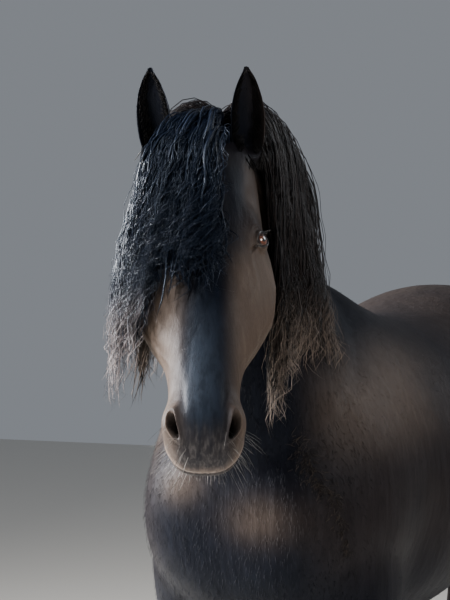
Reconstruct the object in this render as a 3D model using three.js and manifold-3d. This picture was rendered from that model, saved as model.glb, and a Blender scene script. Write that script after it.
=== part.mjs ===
// A Friesian stallion at life size, standing square with its neck arched and its head turned to the left.
// Millimetres, +Z up. The horse faces -Y and its left side is +X.
// The origin is on the floor, under the middle of its box.
import * as THREE from "three";
import { mergeVertices } from "three/addons/utils/BufferGeometryUtils.js";
import Module from "manifold-3d";

const wasm = await Module();
wasm.setup();

// Driving dimensions
const withersHeight = 1600;
const pollHeight = 1860;
const pollForward = -650; // of the poll, from the withers
const pollLeft = 78; // X of the poll
const headTurn = THREE.MathUtils.degToRad(25); // the head looks this far to the horse's left
const headTilt = THREE.MathUtils.degToRad(28); // the face from the vertical
const bodyForward = -242; // Y of the withers
const legSpread = 150; // half the distance between the legs of a pair
const hoofHeight = 92;
const kneeTop = 1000; // a leg swings forward or back below this height
const cutGap = 0.35; // between neighbouring pieces
const eyeAt = [214, -44, 86]; // down, out, left
const eyeForward = 0.55; // how far the eye looks forward for each length to the side
const eyeRadius = 21;
const lidOpeningSize = [19, 15, 11]; // half the length, depth and height
const earLength = 182;
const earSunk = 34; // of the ear's length, inside the skull
const earCut = 4; // the ear's own piece starts this far above its base point
const earWall = 5;
const earWidths = [12, 26, 32, 34, 33, 28, 18, 5]; // half, from the root to the tip
const earDepths = [12, 23, 24, 21, 17, 12, 8, 4]; // half
const earSpread = { left: 75, right: 80 }; // from the middle of the head
const earLean = { left: 7, right: 15 }; // of the tip, to the right
const lidThickness = 4.5;
const nostrilAt = [572, -12, 56]; // down, out, left
const nostrilSize = [8, 20]; // half the width and length
const nostrilRim = 6;
const nostrilDepth = 30;
const mouthLevel = -92;
const mouthInset = 7; // depth of the line between the lips
const reach = 4000; // longer than the horse
const legCutSlope = 0.45;
const headScale = 0.955; // along and out of the face
const maneLength = 600;
const forelockLength = 400;
const featherLength = 185;
const rootDepth = 16; // of the hair, below the hide
const hairGap = 1; // between hair and the pieces it does not grow from
const maneFrom = { left: 0.42, right: 0.14 }; // along the neck
const maneTo = 0.93;
const maneLocks = { left: 11, right: 15 };
const maneSteps = 5; // stations of a lock
const maneWeight = 0.55;
const forelockLocks = 9;
const forelockSteps = 5;
const forelockWeight = 0.5;
const forelockRoots = [-38, 34]; // across the poll
const forelockBulk = 8; // more height above the hide at the right
const layerHeights = [12, 24]; // of the locks above the hide
const lockWidth = 38; // from the middle to the edge
const lockThickness = 5;
const lockWave = 8;
const lockTaper = [0.75, 1, 1, 0.95, 0.82, 0.6, 0.12];
const tailLocks = 12;
const tailSteps = 4;
const tailWeight = 0.78;
const tailTip = [120, 330]; // height of the lowest and highest tips
const tailSpread = [8, 20]; // of the two layers above the hide
const featherLocks = 6;
const featherSteps = 3;
const featherWeight = 0.7;
const featherHeights = [7, 18]; // of the two layers above the hide
const featherArc = 2.5; // from the back of the leg to each side
const featherRise = 62;
const tipHeight = 14; // no hair lies lower
const partingBehindEars = 34;

const black = { color: 0x17151a, roughness: 0.5, metalness: 0 };
const horn = { color: 0x23201f, roughness: 0.55, metalness: 0 };
const eyeBrown = { color: 0x2a0f08, roughness: 0.08, metalness: 0 };

// A seeded draw from 0 to 1.
let seed = 4711;
const chance = () => {
  seed = (seed * 16807) % 2147483647;
  return seed / 2147483647;
};

// Solids
const solidOf = (vertProperties, triVerts) =>
  new wasm.Manifold(new wasm.Mesh({ numProp: 3, vertProperties, triVerts }));
const asSolid = (geometry) => {
  const bare = geometry.clone();
  bare.deleteAttribute("normal");
  bare.deleteAttribute("uv");
  const merged = mergeVertices(bare, 1e-3);
  const corners = new Float32Array(merged.attributes.position.array);
  const faces = new Uint32Array(merged.index.array);
  const solid = solidOf(corners, faces);
  return solid.volume() > 0 ? solid : solidOf(corners, faces.reverse());
};

const asGeometry = (solid) => {
  const mesh = solid.getMesh();
  const geometry = new THREE.BufferGeometry();
  geometry.setAttribute("position", new THREE.BufferAttribute(mesh.vertProperties, mesh.numProp));
  geometry.setIndex(new THREE.BufferAttribute(mesh.triVerts, 1));
  return geometry;
};

const joined = (solids) => wasm.Manifold.union(solids);

// The largest closed surface of a solid, without loose scraps and without any sealed hollow.
const outerShell = (solid) => {
  const mesh = solid.getMesh();
  const { triVerts, vertProperties, numProp } = mesh;
  const owner = Array.from({ length: vertProperties.length / numProp }, (_, i) => i);
  const find = (i) => {
    while (owner[i] !== i) i = owner[i] = owner[owner[i]];
    return i;
  };
  for (let i = 0; i < triVerts.length; i += 3) {
    owner[find(triVerts[i])] = find(triVerts[i + 1]);
    owner[find(triVerts[i + 1])] = find(triVerts[i + 2]);
  }
  const corner = (i) => new THREE.Vector3().fromArray(vertProperties, triVerts[i] * numProp);
  const shells = new Map();
  for (let i = 0; i < triVerts.length; i += 3) {
    const shell = shells.get(find(triVerts[i])) ?? { volume: 0, corners: [] };
    shell.volume += corner(i).dot(corner(i + 1).cross(corner(i + 2)));
    shell.corners.push(triVerts[i], triVerts[i + 1], triVerts[i + 2]);
    shells.set(find(triVerts[i]), shell);
  }
  const best = [...shells.values()].reduce((a, b) => (a.volume > b.volume ? a : b));
  return solidOf(vertProperties, new Uint32Array(best.corners));
};
const largest = (solid) => outerShell(outerShell(solid));

// The same solid with each corner moved outwards.
const grown = (solid, by) => {
  const geometry = asGeometry(solid);
  geometry.computeVertexNormals();
  const { position, normal } = geometry.attributes;
  for (let i = 0; i < position.count; i++) {
    position.setXYZ(
      i,
      position.getX(i) + normal.getX(i) * by,
      position.getY(i) + normal.getY(i) * by,
      position.getZ(i) + normal.getZ(i) * by,
    );
  }
  return asSolid(geometry);
};

// Curves through rows of numbers, one value for each row, read at t from 0 to 1.
const valueAt = (values, t) => {
  const place = THREE.MathUtils.clamp(t, 0, 1) * (values.length - 1);
  const i = Math.min(Math.floor(place), values.length - 2);
  const f = place - i;
  const before = values[Math.max(i - 1, 0)];
  const after = values[Math.min(i + 2, values.length - 1)];
  const slopeIn = (values[i + 1] - before) / 2;
  const slopeOut = (after - values[i]) / 2;
  const f2 = f * f;
  const f3 = f2 * f;
  return (
    values[i] * (2 * f3 - 3 * f2 + 1) +
    slopeIn * (f3 - 2 * f2 + f) +
    values[i + 1] * (3 * f2 - 2 * f3) +
    slopeOut * (f3 - f2)
  );
};

const column = (rows, name) => rows.map((row) => row[name]);

// A closed body between a ridge line and a keel line. Each row gives both points, the half width, the level
// of the widest place from -1 at the keel to 1 at the ridge, and how full both sides are, 1 for an ellipse.
// place(a, b, x) sets a point of the profile plane and a distance to the left into the horse.
const bodyTube = ({ rows, around, steps, place, shape = () => 0 }) => {
  const along = (rows.length - 1) * steps;
  const tube = new THREE.CylinderGeometry(1, 1, 1, around, along);
  const at = tube.attributes.position;
  const read = (name, t) => valueAt(column(rows, name), t);
  for (let i = 0; i < at.count; i++) {
    const t = 0.5 - at.getY(i);
    const radius = Math.hypot(at.getX(i), at.getZ(i));
    const angle = Math.atan2(at.getX(i), at.getZ(i));
    const across = Math.sin(angle);
    const up = Math.cos(angle);
    const full = up > 0 ? read("ridgeFull", t) : read("keelFull", t);
    const side = Math.sign(across) * Math.abs(across) ** full;
    const widest = read("widest", t);
    const level = widest + (up > 0 ? 1 - widest : 1 + widest) * up;
    const middle = [
      (read("ridgeA", t) + read("keelA", t)) / 2,
      (read("ridgeB", t) + read("keelB", t)) / 2,
    ];
    const half = [
      (read("ridgeA", t) - read("keelA", t)) / 2,
      (read("ridgeB", t) - read("keelB", t)) / 2,
    ];
    const core = new THREE.Vector3(middle[0] + half[0] * widest, middle[1] + half[1] * widest, 0);
    const point = core.clone();
    if (radius > 0.5) {
      point.set(middle[0] + half[0] * level, middle[1] + half[1] * level, side * read("width", t));
      point.addScaledVector(point.clone().sub(core).normalize(), shape(point));
    }
    const set = place(point.x, point.y, point.z, t);
    at.setXYZ(i, set.x, set.y, set.z);
  }
  return asSolid(tube);
};

// Rows written shortly: [ridgeA, ridgeB, keelA, keelB, width, widest, ridgeFull, keelFull]
const rowNames = ["ridgeA", "ridgeB", "keelA", "keelB", "width", "widest", "ridgeFull", "keelFull"];
const named = (rows) => rows.map((row) => Object.fromEntries(rowNames.map((name, i) => [name, row[i]])));

// Muscles and hollows: a soft bump of a height at a place [a, b, x], mirrored to both sides.
const bumps = (list) => (point) =>
  list.reduce((sum, [a, b, x, reachA, reachB, reachX, height]) => {
    const da = (point.x - a) / reachA;
    const db = (point.y - b) / reachB;
    const dx = (Math.abs(point.z) - x) / reachX;
    return sum + height * Math.exp(-(da * da + db * db + dx * dx));
  }, 0);

// Torso: a is Y from the withers, b is height.
const torsoRows = named([
  [-402, 1175, -398, 1085, 70, 0, 1, 1],
  [-392, 1262, -378, 1008, 146, 0, 1, 1],
  [-345, 1350, -338, 950, 199, -0.1, 1, 0.95],
  [-255, 1455, -270, 898, 228, -0.15, 1.05, 0.9],
  [-140, 1540, -150, 862, 245, -0.15, 1.2, 0.88],
  [0, withersHeight, 0, 842, 258, -0.1, 1.45, 0.88],
  [130, 1565, 130, 838, 282, -0.12, 1.3, 0.9],
  [270, 1528, 270, 842, 300, -0.12, 1.12, 0.92],
  [410, 1517, 410, 853, 306, -0.08, 1.0, 0.95],
  [550, 1530, 550, 877, 298, 0.0, 0.95, 1.0],
  [680, 1560, 680, 918, 284, 0.15, 0.92, 1.0],
  [800, 1582, 800, 968, 290, 0.2, 0.95, 1.0],
  [920, 1575, 920, 1010, 290, 0.15, 0.98, 0.95],
  [1030, 1535, 1030, 1060, 272, 0.1, 1.0, 0.95],
  [1120, 1465, 1118, 1110, 226, 0, 1.05, 0.95],
  [1172, 1385, 1172, 1165, 150, 0, 1, 1],
  [1190, 1310, 1190, 1225, 70, 0, 1, 1],
]);
const torsoShape = bumps([
  [-150, 1190, 225, 130, 210, 90, 22], // shoulder and upper arm
  [-235, 1390, 200, 60, 120, 90, 10], // front edge of the blade
  [-388, 1090, 78, 70, 95, 62, 20], // breast muscles
  [-395, 1100, 0, 60, 120, 22, -12], // groove between them
  [30, 1010, 250, 70, 110, 80, -12], // behind the elbow
  [900, 1360, 240, 170, 150, 110, 16], // haunch
  [690, 1290, 270, 70, 120, 80, -14], // hollow of the flank
  [790, 1500, 235, 50, 50, 70, 10], // point of the hip
  [1130, 1260, 120, 70, 90, 70, 12], // buttock
]);
const place = (y, z, x) => new THREE.Vector3(x, y + bodyForward, z);

// Legs: rows from the body down to the coronet, ridge is the front line and keel the back line.
const foreRows = named([
  [-250, 1190, -70, 1170, 60, 0, 1, 1],
  [-310, 1120, -10, 1090, 88, 0, 0.95, 0.95],
  [-322, 1030, 18, 1000, 98, 0, 0.95, 0.95],
  [-298, 945, 20, 935, 96, 0.05, 0.95, 0.95],
  [-266, 870, -28, 865, 84, 0.1, 0.95, 1],
  [-242, 790, -68, 790, 70, 0.1, 0.95, 1],
  [-222, 700, -96, 700, 55, 0.05, 0.95, 1],
  [-214, 610, -108, 610, 50, 0, 0.95, 1],
  [-212, 550, -110, 550, 49, 0.1, 0.9, 1],
  [-217, 500, -101, 500, 56, 0.2, 0.85, 1],
  [-214, 452, -96, 452, 55, 0.2, 0.85, 1.05],
  [-201, 405, -108, 405, 45, 0.1, 0.9, 1],
  [-193, 340, -112, 340, 36, 0, 0.95, 1],
  [-193, 268, -110, 268, 35, 0, 0.95, 1],
  [-200, 222, -98, 222, 44, 0, 0.95, 1],
  [-208, 180, -96, 178, 47, 0, 0.95, 1],
  [-219, 144, -120, 140, 43, 0, 0.95, 1],
  [-231, 110, -130, 106, 51, 0, 0.95, 1],
  [-236, hoofHeight, -129, hoofHeight, 57, 0, 0.95, 1],
]);
const hindRows = named([
  [800, 1420, 1060, 1380, 76, 0, 1, 1],
  [756, 1310, 1150, 1300, 100, 0, 1, 1],
  [726, 1210, 1184, 1210, 122, 0, 0.95, 0.95],
  [706, 1110, 1186, 1120, 132, 0, 0.95, 0.95],
  [698, 1010, 1160, 1030, 124, 0.1, 0.95, 1],
  [712, 935, 1122, 945, 108, 0.15, 0.95, 1],
  [758, 862, 1096, 868, 88, 0.15, 0.95, 1],
  [826, 785, 1086, 790, 72, 0.1, 0.95, 1],
  [890, 715, 1096, 718, 59, 0.05, 0.95, 1.1],
  [938, 655, 1142, 662, 51, 0.1, 0.9, 1.2],
  [970, 600, 1164, 620, 53, 0.25, 0.85, 1.2],
  [990, 548, 1150, 556, 53, 0.25, 0.85, 1.15],
  [1004, 490, 1116, 490, 43, 0.15, 0.9, 1.05],
  [1016, 410, 1104, 410, 35, 0, 0.95, 1],
  [1020, 320, 1106, 320, 33, 0, 0.95, 1],
  [1014, 252, 1112, 252, 38, 0, 0.95, 1],
  [1004, 208, 1120, 206, 46, 0, 0.95, 1],
  [992, 170, 1110, 168, 45, 0, 0.95, 1],
  [974, 136, 1076, 132, 42, 0, 0.95, 1],
  [958, 108, 1060, 105, 50, 0, 0.95, 1],
  [952, hoofHeight, 1060, hoofHeight, 55, 0, 0.95, 1],
]);
const foreShape = bumps([
  [-190, 860, 60, 60, 80, 60, 8], // forearm
  [10, 935, 30, 30, 45, 60, 8], // elbow
]);
const hindShape = bumps([
  [740, 965, 40, 50, 50, 80, 8], // stifle
  [930, 860, 60, 80, 70, 60, 8], // gaskin
  [1130, 1160, 60, 60, 120, 80, 8], // hamstrings
]);
const legs = [
  { name: "foreleg_left", rows: foreRows, shape: foreShape, side: 1, step: -34 },
  { name: "foreleg_right", rows: foreRows, shape: foreShape, side: -1, step: 30 },
  { name: "hindleg_left", rows: hindRows, shape: hindShape, side: 1, step: -70 },
  { name: "hindleg_right", rows: hindRows, shape: hindShape, side: -1, step: 24 },
];
const legPlace = (leg) => (y, z, x) => {
  const swing = leg.step * (1 - THREE.MathUtils.smoothstep(z, hoofHeight, kneeTop));
  return place(y + swing, z, leg.side * (legSpread + x));
};

// Head: a runs down the face from the poll, b out of the forehead.
const headForward = new THREE.Vector3(Math.sin(headTurn), -Math.cos(headTurn), 0);
const headSide = new THREE.Vector3(Math.cos(headTurn), Math.sin(headTurn), 0);
const headUp = new THREE.Vector3(0, 0, 1);
const faceDown = headForward
  .clone()
  .multiplyScalar(Math.sin(headTilt))
  .addScaledVector(headUp, -Math.cos(headTilt));
const faceOut = headForward
  .clone()
  .multiplyScalar(Math.cos(headTilt))
  .addScaledVector(headUp, Math.sin(headTilt));
const poll = place(pollForward, pollHeight, pollLeft);
const headPlace = (down, out, left) =>
  poll
    .clone()
    .addScaledVector(faceDown, down * headScale)
    .addScaledVector(faceOut, out * headScale)
    .addScaledVector(headSide, left);
const headRows = named([
  [-42, -60, -10, -150, 50, 0, 1, 1],
  [-4, -8, 46, -214, 80, 0.1, 1, 1],
  [52, 12, 98, -262, 92, 0.15, 0.95, 0.9],
  [112, 22, 150, -284, 98, 0.15, 0.9, 0.8],
  [168, 24, 200, -284, 104, 0.1, 0.9, 0.75],
  [222, 18, 248, -266, 116, 0.05, 0.95, 0.72],
  [282, 9, 300, -232, 122, -0.05, 1.05, 0.75],
  [342, 2, 352, -196, 115, -0.1, 1.1, 0.8],
  [402, -4, 406, -166, 93, -0.05, 1.05, 0.85],
  [460, -8, 460, -143, 68, 0.05, 1, 0.9],
  [514, -8, 512, -134, 60, 0.15, 1, 0.9],
  [560, -10, 556, -138, 66, 0.2, 0.95, 0.9],
  [596, -20, 590, -144, 64, 0.2, 0.95, 0.95],
  [622, -38, 614, -140, 54, 0.1, 0.95, 0.95],
  [640, -62, 630, -126, 38, 0, 1, 1],
  [646, -82, 640, -108, 16, 0, 1, 1],
]);
const headShape = bumps([
  [186, -22, 92, 40, 20, 30, 9], // brow over the eye
  [132, -26, 82, 22, 18, 22, -7], // hollow above the brow
  [300, -92, 100, 62, 13, 30, 6], // facial crest
  [175, -185, 90, 75, 60, 40, 8], // cheek
  [400, -88, 62, 55, 26, 22, -5], // hollow in front of the cheek
  [565, -46, 62, 34, 30, 22, 6], // nostril wing
  [512, -30, 44, 26, 16, 18, -4], // false nostril
  [592, -144, 0, 26, 20, 34, 8], // chin
  [260, -262, 0, 130, 30, 24, -16], // between the jaw bones
]);

// Neck: a crest line and a throat line, bent to the left towards the head.
const neckRows = named([
  [40, 1520, -300, 1090, 160, -0.2, 1.3, 1],
  [-10, 1602, -385, 1190, 178, -0.3, 1.5, 0.95],
  [-125, 1700, -432, 1325, 140, -0.35, 1.45, 0.95],
  [-270, 1808, -458, 1450, 118, -0.3, 1.3, 0.95],
  [-412, 1874, -474, 1548, 102, -0.2, 1.15, 0.95],
  [-535, 1890, -500, 1622, 90, -0.1, 1.1, 1],
  [-622, 1868, -535, 1672, 76, 0, 1, 1],
  [-662, 1834, -580, 1712, 50, 0, 1, 1],
]);
const neckBend = (t) => THREE.MathUtils.smoothstep(t, 0.15, 1);
const neckPlace = (y, z, x, t) => {
  const turn = headTurn * neckBend(t);
  const shift = pollLeft * neckBend(t) ** 1.2;
  return place(y + x * Math.sin(turn), z, shift + x * Math.cos(turn));
};

const dockRows = named([
  [1080, 1500, 1090, 1400, 34, 0, 1, 1],
  [1150, 1462, 1130, 1378, 34, 0, 1, 1],
  [1218, 1430, 1176, 1358, 31, 0, 1, 1],
  [1262, 1372, 1202, 1330, 27, 0, 1, 1],
  [1280, 1290, 1226, 1282, 22, 0, 1, 1],
  [1278, 1210, 1238, 1208, 17, 0, 1, 1],
  [1270, 1150, 1246, 1150, 9, 0, 1, 1],
]);

const hoofRows = (ridge, keel, toe, heel) =>
  named([
    [ridge - 2, hoofHeight - cutGap, keel + 2, hoofHeight - cutGap, 58, 0, 0.95, 0.95],
    [ridge - 9, hoofHeight - 8, keel + 3, hoofHeight - 10, 62, 0, 0.95, 0.9],
    [(ridge + toe) / 2, hoofHeight / 2, (keel + heel) / 2, hoofHeight / 2, 68, 0, 0.95, 0.85],
    [toe + 6, 9, heel, 9, 74, 0, 0.95, 0.8],
    [toe, 0, heel, 0, 75, 0, 0.95, 0.8],
  ]);
const foreHoof = hoofRows(-236, -129, -306, -146);
const hindHoof = hoofRows(952, 1060, 886, 1040);

const torsoTube = bodyTube({ rows: torsoRows, around: 24, steps: 1, place, shape: torsoShape });
const neckTube = bodyTube({ rows: neckRows, around: 16, steps: 2, place: neckPlace });
const headTube = bodyTube({ rows: headRows, around: 22, steps: 2, place: headPlace, shape: headShape });
const legTubes = legs.map((leg) =>
  bodyTube({ rows: leg.rows, around: 12, steps: 1, place: legPlace(leg), shape: leg.shape }),
);
const dockTube = bodyTube({ rows: dockRows, around: 10, steps: 1, place });
const hooves = legs.map((leg) => {
  const rows = leg.rows === foreRows ? foreHoof : hindHoof;
  return bodyTube({ rows, around: 16, steps: 1, place: legPlace(leg) });
});

// A rounded block stretched along three directions given as vectors.
const pebble = (centre, halfAxes, across = 12, down = 8) => {
  const ball = new THREE.SphereGeometry(1, across, down);
  const [x, y, z] = halfAxes;
  ball.applyMatrix4(new THREE.Matrix4().makeBasis(x, y, z).setPosition(centre));
  return asSolid(ball);
};
const scaled = (vector, by) => vector.clone().multiplyScalar(by);

// Eyes in their sockets, with a lid above and below.
const eyePlace = (side) => headPlace(eyeAt[0], eyeAt[1], side * eyeAt[2]);
const eyeBall = (side, radius) => {
  const out = scaled(headSide, side);
  const halfAxes = [scaled(faceDown, radius), scaled(out, radius), scaled(faceOut, -side * radius)];
  return pebble(eyePlace(side), halfAxes, 12, 9);
};
const lids = (side) => eyeBall(side, eyeRadius + lidThickness);
const lidOpening = (side) => {
  const out = scaled(headSide, side).addScaledVector(faceOut, eyeForward).normalize();
  const height = new THREE.Vector3().crossVectors(faceDown, out).normalize();
  const corner = new THREE.Vector3().crossVectors(height, out).normalize();
  const middle = eyePlace(side).addScaledVector(out, eyeRadius);
  const [halfLength, halfDepth, halfHeight] = lidOpeningSize;
  return pebble(middle, [
    scaled(corner, halfLength),
    scaled(out, side * halfDepth),
    scaled(height, -side * halfHeight),
  ]);
};

// Nostrils: a rim round a slanting pocket.
const nostril = (side, grow, depth) => {
  const down = faceDown.clone().addScaledVector(headSide, -side * 0.22).normalize();
  const inward = faceOut.clone().multiplyScalar(-0.86).addScaledVector(headSide, -side * 0.5).normalize();
  const across = new THREE.Vector3().crossVectors(inward, down).normalize();
  const centre = headPlace(nostrilAt[0], nostrilAt[1], side * nostrilAt[2]);
  const [halfWidth, halfLength] = nostrilSize.map((size) => size + grow);
  return pebble(centre, [scaled(across, halfWidth), scaled(down, halfLength), scaled(inward, depth)]);
};

// The line of the mouth, a groove as deep as the inset.
const insetRows = headRows.map((row) => ({ ...row, width: Math.max(row.width - mouthInset, 6) }));
const mouthCore = bodyTube({
  rows: insetRows,
  around: 16,
  steps: 1,
  place: (down, out, left) => headPlace(down - mouthInset, out, left),
});
const mouthSlab = (() => {
  const slab = new THREE.BoxGeometry(120, 3, 180);
  const middle = headPlace(616, mouthLevel, 0);
  slab.applyMatrix4(new THREE.Matrix4().makeBasis(faceDown, faceOut, headSide).setPosition(middle));
  return asSolid(slab);
})();

// Ears: a curled leaf, hollow in front.
const ear = (name, side) => {
  const up = headUp
    .clone()
    .addScaledVector(headSide, side * 0.08)
    .addScaledVector(headForward, 0.06)
    .normalize();
  const front = headForward.clone().addScaledVector(headSide, side * 0.42).normalize();
  const across = new THREE.Vector3().crossVectors(up, front).normalize();
  const base = headPlace(26, -36, side * earSpread[name]);
  const leaf = (inset) => {
    const widths = earWidths.map((width) => Math.max(width - inset, 1.5));
    const depths = earDepths.map((depth) => Math.max(depth - inset * 0.8, 1));
    const tube = new THREE.CylinderGeometry(1, 1, 1, 10, 8);
    const at = tube.attributes.position;
    for (let i = 0; i < at.count; i++) {
      const t = 0.5 + at.getY(i);
      const run = inset ? 0.14 + 0.78 * t : t;
      const forward = inset * 1.9 * Math.sin(Math.PI * Math.min(run * 1.05, 1));
      const lean = -side * 9 * run * run - earLean[name] * run;
      const point = base
        .clone()
        .addScaledVector(up, earLength * run - earSunk)
        .addScaledVector(across, valueAt(widths, run) * at.getX(i) + lean)
        .addScaledVector(front, valueAt(depths, run) * at.getZ(i) + forward);
      at.setXYZ(i, point.x, point.y, point.z);
    }
    return asSolid(tube);
  };
  const cutPoint = base.clone().addScaledVector(up, earCut);
  return { solid: leaf(0).subtract(leaf(earWall)), outside: leaf(0), base: cutPoint, up };
};
const ears = { left: ear("left", 1), right: ear("right", -1) };

const rims = [nostril(1, nostrilRim, 2 * nostrilRim), nostril(-1, nostrilRim, 2 * nostrilRim)];
let head = joined([headTube, lids(1), lids(-1), ...rims]);
for (const side of [1, -1]) {
  head = head.subtract(eyeBall(side, eyeRadius + cutGap));
  head = head.subtract(lidOpening(side)).subtract(nostril(side, 0, nostrilDepth));
}
head = head.subtract(mouthSlab.subtract(mouthCore));

// The block of space in front of a plane, as wide, deep and long as given, and begun a gap early if asked.
const space = (origin, normal, [width, depth, length], gap = 0) => {
  const block = new THREE.BoxGeometry(width + 2 * gap, depth + 2 * gap, length + 2 * gap);
  block.translate(0, 0, length / 2);
  const turn = new THREE.Quaternion().setFromUnitVectors(headUp, normal.clone().normalize());
  block.applyQuaternion(turn);
  block.translate(origin.x, origin.y, origin.z);
  return asSolid(block);
};
// The upright block of space round one leg, its top slanting up to the outside as the trunk's underside does.
const legSpace = (leg, gap) => {
  const fore = leg.rows === foreRows;
  const top = fore ? place(-160, 915, leg.side * 165) : place(955, 1075, leg.side * 165);
  const block = new THREE.BoxGeometry(290 + 2 * gap, (fore ? 364 : 500) + 2 * gap, top.z * 2 + 2 * gap);
  const at = block.attributes.position;
  for (let i = 0; i < at.count; i++) at.setZ(i, at.getZ(i) + leg.side * legCutSlope * at.getX(i));
  block.translate(top.x, top.y, 0);
  return asSolid(block);
};

// Parting: a piece is what one solid has in a space, and the rest keeps a gap from it.
let rest = joined([torsoTube, neckTube, head, ears.left.solid, ears.right.solid, ...legTubes, dockTube]);
const hideSolid = rest;
const pieces = {};
const part = (name, solid, outlines, region) => {
  pieces[name] = largest(solid.intersect(region(0)));
  const cut = region(cutGap);
  const outside = outlines.map((outline) => grown(outline, cutGap * 2));
  rest = largest(rest.subtract(outlines.length ? joined(outside).intersect(cut) : cut));
};
const earSpace = (side) => (gap) => space(ears[side].base, ears[side].up, [140, 140, 300], gap);
const nape = headPlace(-22, 0, 0);
const napeNormal = new THREE.Vector3().crossVectors(headPlace(40, -290, 0).sub(nape), headSide);
if (napeNormal.dot(faceDown) < 0) napeNormal.negate();
const skull = ["left", "right"].reduce(
  (solid, side) => solid.subtract(grown(ears[side].outside, cutGap).intersect(earSpace(side)(cutGap))),
  joined([head, ears.left.solid, ears.right.solid]),
);
part("ear_left", ears.left.solid, [ears.left.outside], earSpace("left"));
part("ear_right", ears.right.solid, [ears.right.outside], earSpace("right"));
const skullOutline = [headTube, ears.left.outside, ears.right.outside];
part("head", skull, skullOutline, (gap) => space(nape, napeNormal, [600, 900, 760], gap));
const neckBase = place(-40, 1640, 0);
const neckRise = new THREE.Vector3(0, -1, 0.92);
part("neck", rest, [], (gap) => space(neckBase, neckRise, [reach, reach, reach], gap));
legs.forEach((leg) => part(leg.name, rest, [], (gap) => legSpace(leg, gap)));
const tailBase = place(1160, 1420, 0);
const tailAway = new THREE.Vector3(0, 1, -0.3);
part("tail", rest, [], (gap) => space(tailBase, tailAway, [110, 200, 400], gap));
pieces.torso = rest;

// Hair
const down = new THREE.Vector3(0, 0, -1);
const facesOf = (solid) => {
  const flat = asGeometry(solid).toNonIndexed().attributes.position;
  const faces = [];
  for (let i = 0; i < flat.count; i += 3) {
    const corners = [0, 1, 2].map((k) => new THREE.Vector3().fromBufferAttribute(flat, i + k));
    const triangle = new THREE.Triangle(...corners);
    const centre = triangle.getMidpoint(new THREE.Vector3());
    const radius = Math.max(...corners.map((corner) => corner.distanceTo(centre)));
    faces.push({ triangle, centre, radius, normal: triangle.getNormal(new THREE.Vector3()) });
  }
  return faces;
};
const hideFaces = facesOf(joined([hideSolid, ...hooves]));

// How far a point is above the hide, and the way out of it.
const aboveHide = (point) => {
  const spot = new THREE.Vector3();
  const found = { gap: Infinity, spot: new THREE.Vector3(), face: null };
  for (const face of hideFaces) {
    if (face.centre.distanceTo(point) - face.radius > found.gap) continue;
    face.triangle.closestPointToPoint(point, spot);
    const gap = spot.distanceTo(point);
    if (gap < found.gap) Object.assign(found, { gap, face, spot: found.spot.copy(spot) });
  }
  const out = point.clone().sub(found.spot);
  if (found.gap < 0.5) return { height: 0, out: found.face.normal.clone() };
  const inside = out.dot(found.face.normal) < 0;
  return { height: inside ? -found.gap : found.gap, out: out.multiplyScalar((inside ? -1 : 1) / found.gap) };
};

// Combs one strand: it leaves its root the given way, sinks by its weight, lies the given height above the
// hide and ends above the floor. The steps grow longer towards the tip.
const comb = ({ root, away, length, steps, weight, above }) => {
  const stations = [{ point: root.clone(), out: away.clone() }];
  const heading = away.clone().normalize();
  const point = root.clone();
  for (let i = 1; i <= steps; i++) {
    const step = (length * (0.25 + (1.5 * (i - 0.5)) / steps)) / steps;
    heading.lerp(down, i === 1 ? weight / 4 : weight).normalize();
    const next = point.clone().addScaledVector(heading, step);
    const near = aboveHide(next);
    if (near.height < above) next.addScaledVector(near.out, above - near.height);
    heading.copy(next).sub(point).normalize();
    point.addScaledVector(heading, step);
    point.z = Math.max(point.z, tipHeight);
    stations.push({ point: point.clone(), out: near.height < 120 ? near.out : stations[i - 1].out });
  }
  return stations;
};

// The way across and the way out of a flat lock at each station, turning slowly along it.
const lockFrames = (strand) => {
  const last = strand.length - 1;
  const spot = (k) => strand[THREE.MathUtils.clamp(k, 0, last)].point;
  const aheadAt = (k) => spot(k + 1).clone().sub(spot(k - 1)).normalize();
  let before = null;
  return strand.map((station, k) => {
    const from = Math.max(k, 1);
    const across = new THREE.Vector3().crossVectors(aheadAt(from), strand[from].out).normalize();
    if (before && across.dot(before) < 0) across.negate();
    if (before) across.lerp(before, 0.5).normalize();
    before = across;
    return { across, up: new THREE.Vector3().crossVectors(across, aheadAt(k)).normalize() };
  });
};

// One lock: a flat strip along a combed strand, widest a third of the way down and wavy towards its thin tip.
const lock = (strand, width, thickness, wave) => {
  const frames = lockFrames(strand);
  const steps = strand.length - 1;
  const strip = new THREE.CylinderGeometry(1, 1, 1, 4, steps);
  const at = strip.attributes.position;
  const phase = chance() * Math.PI * 2;
  for (let i = 0; i < at.count; i++) {
    const t = 0.5 - at.getY(i);
    const k = Math.round(t * steps);
    const { across, up } = frames[k];
    const size = valueAt(lockTaper, t);
    const sway = wave * t * Math.sin(phase + k * 1.7);
    const set = strand[k].point
      .clone()
      .addScaledVector(across, at.getX(i) * width * size + sway)
      .addScaledVector(up, at.getZ(i) * thickness * size);
    at.setXYZ(i, set.x, set.y, set.z);
  }
  return asSolid(strip);
};

const crest = (t) => {
  const read = (name) => valueAt(column(neckRows, name), t);
  return neckPlace(read("ridgeA"), read("ridgeB") - rootDepth, 0, t);
};

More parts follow.
